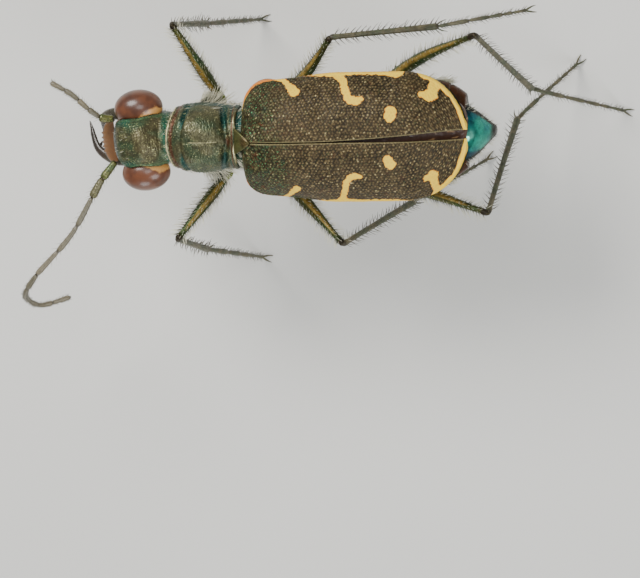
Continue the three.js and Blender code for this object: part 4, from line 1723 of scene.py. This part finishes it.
@dataclass
class WingCase:
    """One wing case: an arched, pitted shell with a turned-in edge and its markings."""

    side: Side
    front: float = -1.12
    back: float = 3.7
    widest: float = 1.42
    shoulder_width: float = 1.27
    shoulder_end: float = -0.5
    apex_from: float = 2.2
    arch_power: float = 1.9
    ridge: Pairs = (
        (-1.12, 5.46), (-0.97, 5.63), (-0.4, 5.73), (1.0, 5.57), (2.33, 5.37), (3.0, 5.14), (3.68, 4.86),
    )
    margin: Pairs = (
        (-1.12, 5.02), (-0.85, 4.8), (-0.3, 4.75), (1.3, 4.66), (2.76, 4.53), (3.11, 4.57), (3.68, 4.78),
    )
    stations: int = 440
    arc: int = 146
    pitch: float = 0.073

    def half_width(self, x: Array) -> Array:
        """Half the width of both wing cases together.

        Args:
            x: places along the body.

        Returns:
            The half width in millimetres.
        """
        width = self.shoulder_width + (self.widest - self.shoulder_width) * smooth(x, self.shoulder_end, 1.0)
        shoulder = np.maximum(0, (self.shoulder_end - x) / (self.shoulder_end - self.front))
        apex = np.maximum(0, (x - self.apex_from) / (self.back - self.apex_from))
        return width * (1 - (shoulder * 0.995) ** 2.3) ** 0.19 * (1 - (apex * 0.99) ** 2.2) ** 0.46

    def suture(self, x: Array) -> Array:
        """How far the inner edge is from the middle line."""
        gape = 0.15 if self.side is Side.RIGHT else 0.025
        return 0.012 + gape * smooth(x, 0.4, 3.9)

    def outer(self, x: Array, angle: Array) -> Array:
        """Points of the outer surface, on the right side, from the inner edge to the margin.

        Args:
            x: places along the body.
            angle: turns from the inner edge, 0, to the margin, a right angle.

        Returns:
            The points.
        """
        bend = 2 / self.arch_power
        start = self.suture(x)
        reach = np.maximum(self.half_width(x) - start, 0.05)
        ridge, margin = through(self.ridge)(x), through(self.margin)(x)
        y = start + reach * np.sin(angle) ** bend
        z = margin + (ridge - margin) * np.clip(np.cos(angle), 0, 1) ** bend
        return np.stack([x * np.ones_like(y), y, z], axis=-1)

    def _edge_distance(self, outer: Array) -> Array:
        """Distance over the surface from the margin.

        Args:
            outer: points of the outer surface.

        Returns:
            The distance.
        """
        steps = np.linalg.norm(np.diff(outer, axis=1), axis=-1)
        run = np.concatenate([np.zeros((len(outer), 1)), np.cumsum(steps, axis=1)], axis=1)
        return run[:, -1:] - run

    def _mark(self, x: Array, edge: Array) -> Array:
        """How far outside the markings the points are, in millimetres, negative inside.

        Args:
            x: places along the body.
            edge: distance from the margin.

        Returns:
            The distance.
        """
        nearest = np.full(x.shape, 9.0)
        for marking in MARKINGS[self.side]:
            spots = [(at, self._from_edge(at, across), half) for at, across, half in marking]
            for (ax, ay, ah), (bx, by, bh) in zip(spots, spots[1:]):
                along = (x - ax) * (bx - ax) + (edge - ay) * (by - ay)
                share = np.clip(along / max((bx - ax) ** 2 + (by - ay) ** 2, 1e-9), 0, 1)
                gap = np.hypot(x - ax - share * (bx - ax), edge - ay - share * (by - ay))
                nearest = np.minimum(nearest, gap - (ah + (bh - ah) * share))
        flat = np.stack([x, edge, np.zeros_like(x)], axis=-1)
        return nearest + 0.014 * ripple(flat + 3.0, 0.17) + 0.007 * ripple(flat + 1.0, 0.07, 2.0)

    def _from_edge(self, at: float, across: float) -> float:
        """A marking's reach from the edge, over the surface.

        Args:
            at: place along the body.
            across: reach from the middle line, or, below zero, from the edge.

        Returns:
            The reach from the edge in millimetres.
        """
        if across < 0:
            return -across
        angle = np.linspace(0, math.pi / 2, 60)
        profile = self.outer(np.full((1, 60), at), angle[None])
        return float(np.interp(across, profile[0, :, 1], self._edge_distance(profile)[0]))

    def _pits(self, x: Array, edge: Array) -> Array:
        """Round pits on an uneven grid, 1 in the middle of each.

        Args:
            x: places along the body.
            edge: distance from the margin.

        Returns:
            The depth of the pits, 0 to 1.
        """
        random = np.random.default_rng(7 + self.side.value)
        columns, rows = 110, 50
        offsets = random.uniform(-0.24, 0.24, (columns, rows, 2))
        sizes = random.uniform(0.26, 0.4, (columns, rows))
        row_pitch = self.pitch * 0.87
        row = np.floor(edge / row_pitch).astype(int)
        depth = np.zeros(x.shape)
        for j in (row - 1, row, row + 1):
            lean = 0.5 * (j % 2)
            column = np.floor((x - self.front) / self.pitch - lean).astype(int)
            for i in (column - 1, column, column + 1):
                at = offsets[i % columns, j % rows]
                cx = (i + 0.5 + lean + at[..., 0]) * self.pitch + self.front
                cy = (j + 0.5 + at[..., 1]) * row_pitch
                gap = np.hypot(x - cx, edge - cy) / (sizes[i % columns, j % rows] * self.pitch)
                depth = np.maximum(depth, np.exp(-(gap**4)))
        return depth

    def skin(self) -> Skin:
        """The closed shell.

        Returns:
            The skin.
        """
        t = np.linspace(0, 1, self.stations)
        x = self.front + (self.back - self.front) * (t - 0.055 * np.sin(2 * math.pi * t))
        xs, angles = np.meshgrid(x, np.linspace(0, math.pi / 2, self.arc), indexing="ij")
        plain = self.outer(xs, angles)
        edge = self._edge_distance(plain)
        gap = self._mark(xs, edge)
        mark = np.clip(0.5 - gap / 0.04, 0, 1)
        pit = self._pits(xs, edge)
        lift = self._relief(plain, edge) - 0.009 * pit * (1 - 0.5 * mark) * smooth(edge, 0.02, 0.08)
        ends = smooth(x, self.front, self.front + 0.12) * smooth(-x, -self.back, -self.back + 0.06)
        outer = plain + self._normals(plain) * (lift * ends[:, None])[..., None]
        turned_in, inner = self._turned_in(x, outer), self._inner(x)
        warm = smooth(-xs, 0.3, 0.6) * smooth(0.35 - edge, 0, 0.1)
        warm = np.maximum(warm, 0.5 * smooth(-xs, -2.5, -2.2) * smooth(0.26 - edge, 0, 0.1))
        bead = bump(outer[..., 1] - self.suture(xs), 0.012, 0.015) * smooth(xs, -0.98, -0.9)
        core = smooth(-gap, -0.01, 0.03) * (1 - warm)
        base = self._base(xs, outer[..., 1], edge)
        hidden = np.zeros((len(x), turned_in.shape[1] + inner.shape[1]))
        shown = {"mark": mark, "core": core, "dot": pit, "base": base, "bead": bead}
        masks = {name: np.concatenate([values, hidden], axis=1) for name, values in shown.items()}
        under = hidden.copy()
        under[:, :6] = 1.0
        masks["rim"] = np.concatenate([np.zeros(xs.shape), under], axis=1)
        skin = rings_skin(np.concatenate([outer, turned_in, inner], axis=1), masks)
        return skin if self.side is Side.RIGHT else skin.mirrored()

    def _relief(self, plain: Array, edge: Array) -> Array:
        """Shoulder, dents, raised seam and raised rim, without the pits.

        Args:
            plain: the outer points before the relief.
            edge: distance from the margin.

        Returns:
            The lift in millimetres.
        """
        x, across = plain[..., 0], plain[..., 1]
        lift = 0.05 * bump(x, -0.72, 0.22) * bump(across, 0.98, 0.17)
        lift -= 0.06 * bump(x + 0.5 * (across - 0.6), -0.8, 0.24) * bump(across, 0.62, 0.17)
        lift += 0.02 * bump(x, -0.66, 0.3) * bump(across, 0.3, 0.2)
        lift += 0.014 * bump(across - self.suture(x), 0, 0.025)
        lift += 0.012 * ripple(plain, 0.9) * smooth(edge, 0.05, 0.3)
        lift += 0.055 * (1 - smooth(edge, 0.0, 0.15)) * smooth(x, -0.7, -0.3) - 0.02 * bump(edge, 0.2, 0.06)
        return lift

    def _base(self, x: Array, across: Array, edge: Array) -> Array:
        """Where the wing case is green: at its front, along its edge and beside the seam.

        Args:
            x: places along the body.
            across: distance from the middle line.
            edge: distance from the margin.

        Returns:
            How green each point is, 0 to 1.
        """
        base = bump(x, -1.1, 0.95) + 0.5 * bump(across, 0, 0.12) * bump(x, -0.9, 0.9)
        if self.side is Side.LEFT:
            base = base + 0.45 * bump(x, -0.4, 0.5) * bump(across, 0.7, 0.5)
        return np.clip(base + 0.45 * bump(edge, 0.2, 0.12) * smooth(-x, -2.6, -0.5), 0, 1)

    def _turned_in(self, x: Array, outer: Array) -> Array:
        """The edge's narrow turned-in strip, which shrinks towards the apex.

        Args:
            x: places along the body, one a ring.
            outer: points of the outer surface.

        Returns:
            Its points, by ring.
        """
        height = through(self.ridge)(x) - through(self.margin)(x)
        shrink = np.clip(height / 0.6, 0.15, 1)
        rows = [
            np.stack([x, outer[:, -1, 1] - inward * shrink, outer[:, -1, 2] - down * shrink], axis=-1)
            for inward, down in ((0.004, 0.028), (0.03, 0.052), (0.09, 0.062), (0.15, 0.05))
        ]
        return np.stack(rows, axis=1)

    def _inner(self, x: Array) -> Array:
        """The inner surface, back from the edge to the middle line.

        Args:
            x: places along the body, one a ring.

        Returns:
            Its points, by ring.
        """
        steps = 22
        height = through(self.ridge)(x) - through(self.margin)(x)
        wall = np.minimum(0.09, 0.4 * height)[:, None]
        xs, angles = np.meshgrid(x, np.linspace(math.pi / 2, 0, steps), indexing="ij")
        inner = self.outer(xs, angles)
        middle = self.suture(x)[:, None]
        shrink = 1 - wall / np.maximum(self.half_width(x)[:, None], 0.2)
        inner[..., 1] = middle + (inner[..., 1] - middle) * shrink
        inner[..., 2] -= wall
        return inner

    @staticmethod
    def _normals(outer: Array) -> Array:
        """Outward normals of the outer surface."""
        return unit(np.cross(np.gradient(outer, axis=0), np.gradient(outer, axis=1))) * -1.0

    def build(self) -> None:
        """Makes the wing case."""
        label = self.side.label
        skin = self.skin().placed(TRUNK_PLACE)
        skin.piece(f"wing_case_{label}", Finish.WING_CASE, "elytra", f"elytron_{label}")


# Trunk


@dataclass
class Trunk:
    """Everything between the head and the tail, apart from the wing cases and legs."""

    breastplate: Breastplate = field(default_factory=lambda: Breastplate(**BREASTPLATE_SHAPE))
    waist: Barrel = field(default_factory=lambda: Barrel(**WAIST_SHAPE))
    thorax: Plates = field(default_factory=lambda: Plates(**THORAX_SHAPE))
    abdomen: Plates = field(default_factory=lambda: Plates(**ABDOMEN_SHAPE))
    last_plate: Plates = field(default_factory=lambda: Plates(**LAST_PLATE_SHAPE))

    def build(self) -> None:
        """Makes every piece of the trunk."""
        bronze = "bronze_cuticle"
        plan = (
            (Barrel(**NECK_SHAPE).skin(), "neck", Finish.NECK_SKIN, bronze),
            (self.waist.skin(), "waist", Finish.WAIST, bronze),
            (self.breastplate.skin(), "breastplate", Finish.COLLAR, bronze, "prothorax"),
            (self.thorax.skin(), "thorax_plates", Finish.BELLY, "belly", "thorax"),
            (self.abdomen.skin(), "abdomen_plates", Finish.BELLY, "belly", "abdomen"),
            (self.last_plate.skin(), "last_plate", Finish.LAST_PLATE, "pygidium", "pygidium"),
            (self._shield(), "shield", Finish.SHIELD, bronze, "scutellum"),
            (self._folded_wings(), "folded_wings", Finish.FOLDED_WING, "belly"),
        )
        for skin, *row in plan:
            skin.placed(TRUNK_PLACE).piece(*row)
        self._front_hair().piece("breast_hair", Finish.WHITE_HAIR, "coxa")
        self._rear_hair().piece("flank_hair", Finish.WHITE_HAIR, "belly")

    def _shield(self) -> Skin:
        """The small triangular shield between the wing cases' front corners.

        Returns:
            The skin.
        """
        across, thickness = 21, 0.14
        t = np.linspace(0, 1, 40)
        x = -1.25 + 0.36 * t
        half = (0.27 * (1 - t) ** 0.8 + 0.008)[:, None]
        u = np.linspace(-1, 1, across)
        rise = through(((-1.26, 5.46), (-1.1, 5.58), (-0.88, 5.68)))(x)[:, None]
        upper = rise + 0.03 * (1 - u**2) - 0.01 * bump(u, 0, 0.2)
        y = np.concatenate([half * u, half * u[::-1]], axis=1)
        z = np.concatenate([upper, np.repeat(rise - thickness, across, 1)], axis=1)
        return rings_skin(np.stack([np.repeat(x[:, None], 2 * across, 1), y, z], axis=-1))

    def _folded_wings(self) -> Skin:
        """The brown folded wings, seen in the gap between the wing cases and beside the tail.

        Returns:
            The skin.
        """
        skin = Barrel(**FOLDED_WINGS_SHAPE).skin()
        x, y = skin.points[:, 0], skin.points[:, 1]
        streak = ripple(np.stack([x * 0.3, y, y * 0.3], axis=-1), 0.13, 2.0)
        skin.masks["vein"] = 0.75 * np.clip(1.2 * streak, 0, 1) * smooth(x, 1.7, 2.5)
        skin.masks["along"] = smooth(x, 0.0, 3.4)
        return skin

    def _front_hair(self) -> Skin:
        """Long white hair on the prothorax's flanks and edges, and a fringe over the neck.

        Returns:
            The skin.
        """
        grow = partial(fur, self.breastplate, TRUNK_PLACE)
        parts = []
        for sign, seed, upper in ((1, 20, 122), (-1, 30, 94)):
            coat = ((0.35, 0, -1.5), (0.45, 0, 0), 0.24, seed, 0.009, 0.2)
            parts.append(grow((-2.6, -1.26), flank(sign, upper, 168), 620, 0.36, *coat))
            coat = ((1.4, 0, 0), (0.3, 0, 0), 0.5, seed + 1)
            parts.append(grow((-2.5, -1.4), flank(sign, 62, 80), 9, 0.22, *coat))
        parts.append(grow((-2.78, -2.72), (-100, 100), 60, 0.07, (-1.0, 0, 0), (0, 0, -0.2), 0.2, 40, 0.004))
        for sign, seed in ((1, 41), (-1, 42)):
            coat = ((0.9, 0, 0), (0.1, 0, 0.1), 0.35, seed, 0.0065)
            parts.append(fur(self.waist, TRUNK_PLACE, (-1.27, -1.14), flank(sign, 18, 100), 120, 0.12, *coat))
        return Skin.join(parts)

    def _rear_hair(self) -> Skin:
        """White hair swept back over the flanks of the thorax and abdomen, in a tuft on each plate.

        Returns:
            The skin.
        """
        on_thorax, on_abdomen, on_last = (
            partial(fur, barrel, TRUNK_PLACE) for barrel in (self.thorax, self.abdomen, self.last_plate)
        )
        parts = []
        for sign, seed, upper in ((1, 50, 84), (-1, 60, 72)):
            side = flank(sign, upper, 150)
            coat = ((1.0, 0, -0.5), (0.1, 0, -0.2), 0.3, seed, 0.0085, 0.22)
            parts.append(on_thorax((-1.15, 1.05), side, 1100, 0.36, *coat))
            for i, x in enumerate((1.06, 1.5, 1.96, 2.4, 2.84)):
                coat = ((1.1, 0, -0.4), (0.1, 0, -0.2), 0.28, seed + 2 + i, 0.0085, 0.2)
                parts.append(on_abdomen((x, x + 0.34), side, 190, 0.28 - 0.02 * i, *coat))
        for sign, seed in ((1, 80), (-1, 82)):
            coat = ((0.9, 0, 0), (0.1, 0, 0), 0.5, seed, 0.005)
            parts.append(on_last((3.5, 4.14), flank(sign, 62, 120), 70, 0.12, *coat))
        coat = ((1.0, 0, -0.2), (0.1, 0, 0), 0.4, 81, 0.005)
        parts.append(on_abdomen((1.1, 3.4), (150, 210), 420, 0.16, *coat))
        return Skin.join(parts)


# Legs


def towards(start: Sequence[float], end: Sequence[float]) -> Array:
    """The direction from one point to another."""
    return unit(np.array(end, float) - np.array(start, float))


def arched(start: Point, end: Point, share: float, rise: float) -> list[Point]:
    """Two points with a raised one between."""
    middle = np.array(start) * (1 - share) + np.array(end) * share
    return [start, (middle[0], middle[1], middle[2] + rise), end]


@dataclass
class Leg:
    """One leg: hip, thigh, shin with two spurs, and a five-jointed foot with two claws."""

    name: str
    root: Point
    hip: Point
    knee: Point
    ankle: Point
    tip: Point
    bow: Optional[Point] = None
    claw_length: float = 0.22

    @property
    def fore(self) -> bool:
        """Whether this is a fore leg."""
        return self.name.startswith("fore")

    def build(self) -> None:
        """Makes the leg's pieces."""
        name, seed = self.name, sum(map(ord, self.name))
        hip, thigh, shin, foot = self._hip(), self._thigh(), self._shin(), self._foot()
        finish = Finish.HIND_HIP if name.startswith("hind") else Finish.HIP
        hip_skin = Skin.join([hip.skin(), self._joint(thigh)])
        hip_skin.piece(f"hip_{name}", finish, "coxa", f"coxa_{name}")
        thigh.skin().piece(f"thigh_{name}", Finish.THIGH, "femur", f"femur_{name}")
        shin_skin = Skin.join([shin.skin(), *self._spurs()])
        shin_skin.piece(f"shin_{name}", Finish.SHIN, "tibia", f"tibia_{name}")
        foot_skin = Skin.join([foot.skin(), *self._claws()])
        foot_skin.piece(f"foot_{name}", Finish.SHIN, "tibia", f"tarsus_{name}")
        white = [
            comb(thigh, (0.08, 0.96), (80, -80, 100, -100), 42, 0.2, 0.7, seed, 0.0085),
            comb(thigh, (0.1, 0.95), (22, -22, 160, -160), 24, 0.11, 0.9, seed + 1),
            comb(hip, (0.05, 0.9), range(-170, 180, 20), 20, 0.25, 0.9, seed + 6, 0.0085, 0.35),
        ]
        Skin.join(white).piece(f"thigh_hair_{name}", Finish.WHITE_HAIR, "femur")
        per_row = 13 if self.fore else 20
        grey = [
            comb(shin, (0.04, 0.98), (78, -78, 105, -105), per_row, 0.17, 0.75, seed + 2, 0.01),
            comb(shin, (0.04, 0.98), (0, 180), 22, 0.1, 1.0, seed + 3, 0.007),
            comb(foot, (0.03, 0.97), (75, -75, 120, -120), 26, 0.1, 0.9, seed + 4, 0.008),
            comb(foot, (0.03, 0.97), (10, 180), 20, 0.06, 1.2, seed + 5),
        ]
        Skin.join(grey).piece(f"shin_hair_{name}", Finish.GREY_HAIR, "tibia")

    def _hip(self) -> Limb:
        """The stout hip."""
        masks = {"green": ((0.7, 0), (1, 0.6))}
        return Limb(Route([self.root, self.hip]), HIP_STOPS, rings=46, sides=30, masks=masks)

    def _joint(self, thigh: Limb) -> Skin:
        """The small joint that carries the thigh."""
        route = Route(thigh.route.at(np.array([-0.035, 0.04, 0.12])))
        return Limb(route, JOINT_STOPS, rings=34, sides=24, masks={"green": ((0, 1), (1, 1))}).skin()

    def _thigh(self) -> Limb:
        """The thigh, swollen near its base.

        Returns:
            The limb.
        """
        middle = [self.bow] if self.bow else []
        base = 0.125 if self.fore else 0.14
        stops = (
            (0.02, 0.05), (0.05, 0.075), (0.12, 0.09), (0.3, base), (0.5, base * 0.93), (0.8, 0.078),
            (0.92, 0.064), (0.965, 0.076), (1.0, 0.066), (1.012, 0.03),
        )
        masks = {
            # Where along the thigh the golden painted highlight runs.
            "streak": ((0.05, 0), (0.2, 0.8), (0.8, 0.75), (0.95, 0)),
            "knee": ((0.92, 0), (0.97, 0.9), (1, 0.9)),
        }
        return Limb(Route([self.hip, *middle, self.knee]), stops, rings=120, sides=28, masks=masks)

    def _shin(self) -> Limb:
        """The thin shin, a little wider at the ankle.

        Returns:
            The limb.
        """
        masks = {"knee": ((0, 0.8), (0.06, 0), (0.94, 0), (1, 0.6))}
        route = Route(arched(self.knee, self.ankle, 0.5, 0.06))
        return Limb(route, SHIN_STOPS, rings=110, sides=22, masks=masks)

    def _spurs(self) -> list[Skin]:
        """Two thin spurs at the ankle.

        Returns:
            A skin for each.
        """
        down = towards(self.knee, self.ankle)
        ankle = np.array(self.ankle)
        found = []
        for outward in self._either_way(down):
            root = ankle - down * 0.03 + outward * 0.035
            end = ankle + down * 0.2 + outward * 0.13
            line = (root, (root + end) / 2 + outward * 0.015, end)
            found.append(spike(line, ((0, 0.02), (0.5, 0.015), (1, 0.004)), 16, 10))
        return found

    @staticmethod
    def _either_way(along: Array) -> tuple[Array, Array]:
        """The two level directions across a line."""
        outward = unit(np.cross([0, 0, 1.0], along))
        return -outward, outward

    def _foot_end(self) -> tuple[Array, Array, tuple[float, float, float]]:
        """Where the foot's shaft ends and how its claws go on.

        Returns:
            The end, the claws' direction, and the heights of the end and of the claws' bends and tips.
        """
        standing = self.tip[2] == 0.0
        aim = towards(self.ankle, self.tip)
        forward = unit(aim * np.array([1, 1, 0])) if standing else aim
        tip = np.array(self.tip)
        heights = (0.07, 0.04, 0.011) if standing else (tip[2] + 0.12, tip[2] + 0.1, tip[2])
        end = tip - forward * self.claw_length
        end[2] = heights[0]
        return end, forward, heights

    def _foot(self) -> Limb:
        """The foot's shaft.

        Returns:
            The limb.
        """
        end = self._foot_end()[0]
        knees = [(p + d, v) for p in FOOT_JOINTS[:-1] for d, v in ((-0.015, 0.0), (0.0, 0.9), (0.02, 0.0))]
        route = Route(arched(self.ankle, tuple(end), 0.6, 0.05))
        return Limb(route, self._foot_stops(), rings=150, sides=16, masks={"knee": knees}, wobble=0.002)

    def _claws(self) -> list[Skin]:
        """The two spread claws.

        Returns:
            A skin for each.
        """
        end, forward, heights = self._foot_end()
        aim = towards(self.ankle, self.tip)
        found = []
        for outward in self._either_way(aim):
            elbow = end + forward * self.claw_length * 0.45 + outward * 0.055
            point = end + forward * self.claw_length * 0.9 + outward * 0.075
            elbow[2], point[2] = heights[1:]
            line = (end - aim * 0.05, elbow, point)
            found.append(spike(line, ((0, 0.024), (0.5, 0.02), (1, 0.005)), 22, 10))
        return found

    def _foot_stops(self) -> Pairs:
        """Five joints, each widening towards its far end.

        Returns:
            Stops of share and radius.
        """
        radii = (0.062, 0.058, 0.055, 0.046, 0.038) if self.fore else (0.052, 0.048, 0.046, 0.042, 0.037)
        stops = [(-0.01, 0.02)]
        for start, end, radius in zip(FOOT_JOINTS, FOOT_JOINTS[1:], radii):
            shape = ((0.02, 0.55), (0.15, 0.74), (0.86, 1.0), (0.96, 0.8))
            stops += [(start + (end - start) * share, radius * wide) for share, wide in shape]
        return [*stops, (1.0, 0.03), (1.01, 0.01)]


LEGS = (
    Leg(
        "fore_left", (-2.16, -0.32, 3.9), (-1.69, -0.71, 3.6), (-2.7, -2.16, 4.32), (-2.37, -2.38, 2.44),
        (-1.39, -2.59, 0.0),
    ),
    Leg(
        "fore_right", (-2.16, 0.52, 3.9), (-1.84, 0.8, 3.62), (-2.83, 2.44, 4.32), (-2.39, 2.48, 2.44),
        (-1.42, 2.63, 0.0),
    ),
    Leg(
        "middle_left", (-0.9, -0.25, 3.76), (-0.72, -0.62, 3.5), (0.82, -2.27, 3.84), (2.07, -1.34, 2.03),
        (3.5, -0.3, 0.0),
    ),
    Leg(
        "middle_right", (-0.9, 0.45, 3.84), (-0.76, 0.62, 3.5), (0.63, 2.16, 4.32), (2.83, 2.4, 3.5),
        (4.86, 2.79, 2.72), bow=(0.05, 1.4, 3.95),
    ),
    Leg(
        "hind_left", (0.55, -0.3, 3.66), (1.15, -0.66, 3.42), (3.95, -1.61, 3.7), (4.29, 0.45, 1.88),
        (5.42, 1.79, 0.0),
    ),
    Leg(
        "hind_right", (0.55, 0.5, 3.74), (1.12, 0.73, 3.42), (3.91, 2.2, 5.12), (4.69, 1.06, 2.38),
        (6.52, 0.55, 0.0), bow=(2.37, 1.62, 3.93),
    ),
)

FEELERS = (
    Feeler(
        Side.LEFT, ((-3.99, -0.5, 4.65), (-4.31, -0.93, 4.67), (-4.5, -1.27, 4.66)),
        ((-4.5, -1.27, 4.66), (-4.95, -2.06, 4.64), (-5.73, -2.93, 4.58)),
        (
            (-5.73, -2.93, 4.58), (-6.0, -3.29, 4.38), (-6.06, -3.46, 3.82), (-5.87, -3.58, 3.28),
            (-5.29, -3.41, 3.03),
        ),
        (2, 3, 6),
    ),
    Feeler(
        Side.RIGHT, ((-3.99, 0.42, 4.84), (-4.15, 0.42, 4.87), (-4.3, 0.45, 4.9)),
        ((-4.3, 0.45, 4.9), (-4.55, 0.66, 5.06), (-4.72, 0.82, 5.09)),
        ((-4.72, 0.82, 5.09), (-4.87, 0.94, 5.1), (-5.33, 1.19, 5.03)), (1, 2, 2),
    ),
)


# Studio


@dataclass
class Studio:
    """The pale floor, the soft lights and the camera."""

    tilt: float = 10.2
    lens: float = 1500.0
    sensor: float = 36.0
    distance: float = 571.2
    aim: Point = (0.468, -3.234, 4.66)
    lit: Point = (0, 0, 4)
    floor_tone: Colour = tone(216, 215, 210)
    floor_reach: float = 0.4

    def build(self) -> None:
        """Makes the floor, the camera and the lights."""
        self._floor()
        self._camera()
        world = bpy.data.worlds.new("studio")
        world.use_nodes = True
        background = world.node_tree.nodes["Background"]
        background.inputs["Color"].default_value = (0.95, 0.98, 1.0, 1.0)
        background.inputs["Strength"].default_value = 0.4
        bpy.context.scene.world = world
        self._light("key", (-22, 24, 40), 24, 0.0254, (1.0, 0.98, 0.95))
        self._light("fill", (26, -28, 38), 28, 0.0144, (0.96, 0.98, 1.0))
        self._light("top", (2, 4, 54), 22, 0.0073)
        self._light("low", (-8, -52, 14), 26, 0.01)

    @staticmethod
    def _add(name: str, data: Any) -> bpy.types.Object:
        """An object of the scene.

        Args:
            name: its name.
            data: what it shows.

        Returns:
            The object.
        """
        made = bpy.data.objects.new(name, data)
        bpy.context.scene.collection.objects.link(made)
        return made

    def _floor(self) -> None:
        """A plain floor under the feet."""
        mesh = bpy.data.meshes.new("floor")
        far = self.floor_reach
        mesh.from_pydata([(-far, -far, 0), (far, -far, 0), (far, far, 0), (-far, far, 0)], [], [(0, 1, 2, 3)])
        floor = self._add("floor", mesh)
        shader = Shader("floor_paint")
        shade = shader.noise(9.0).step(0.3, 0.7, 0.0, 0.08)
        colour = shader.blend(shade, self.floor_tone, dimmed(self.floor_tone, 0.8))
        floor.data.materials.append(shader.close(Base_Color=colour, Roughness=0.75))

    def _camera(self) -> None:
        """A long lens above the beetle, tipped a little towards its tail."""
        camera = bpy.data.cameras.new("camera")
        camera.lens, camera.sensor_width = self.lens, self.sensor
        camera.clip_start, camera.clip_end = 0.001, 10.0
        made = self._add("camera", camera)
        tilt = math.radians(self.tilt)
        back = np.array([math.sin(tilt), 0, math.cos(tilt)])
        right = np.array([math.cos(tilt), 0, -math.sin(tilt)])
        place = (np.array(self.aim) + SHIFT + back * self.distance) * MM
        axes = np.stack([right, (0, 1, 0), back, place], axis=1)
        made.matrix_world = Matrix([*axes.tolist(), [0, 0, 0, 1]])
        bpy.context.scene.camera = made

    def _light(
        self, name: str, place: Point, size: float, power: float, colour: Colour = (1.0, 1.0, 1.0)
    ) -> None:
        """A round soft light that faces the beetle.

        Args:
            name: its name.
            place: where it stands, in millimetres.
            size: its width in millimetres.
            power: its power in watts.
            colour: its colour.
        """
        light = bpy.data.lights.new(name, "AREA")
        light.shape = "DISK"
        light.size, light.energy, light.color = size * MM, power, colour
        made = self._add(name, light)
        made.location = Vector(place) * MM
        aim = Vector(self.lit) * MM - made.location
        made.rotation_euler = aim.to_track_quat("-Z", "Y").to_euler()


def main() -> None:
    """Builds the beetle and its studio, and notes the sizes."""
    logging.basicConfig(level=logging.INFO, format="%(name)s %(message)s")
    Studio().build()
    Head().build()
    Trunk().build()
    for side in Side:
        WingCase(side).build()
    for feeler in FEELERS:
        feeler.build()
    for leg in LEGS:
        leg.build()
    bpy.context.view_layer.update()


if __name__ == "__main__":
    main()
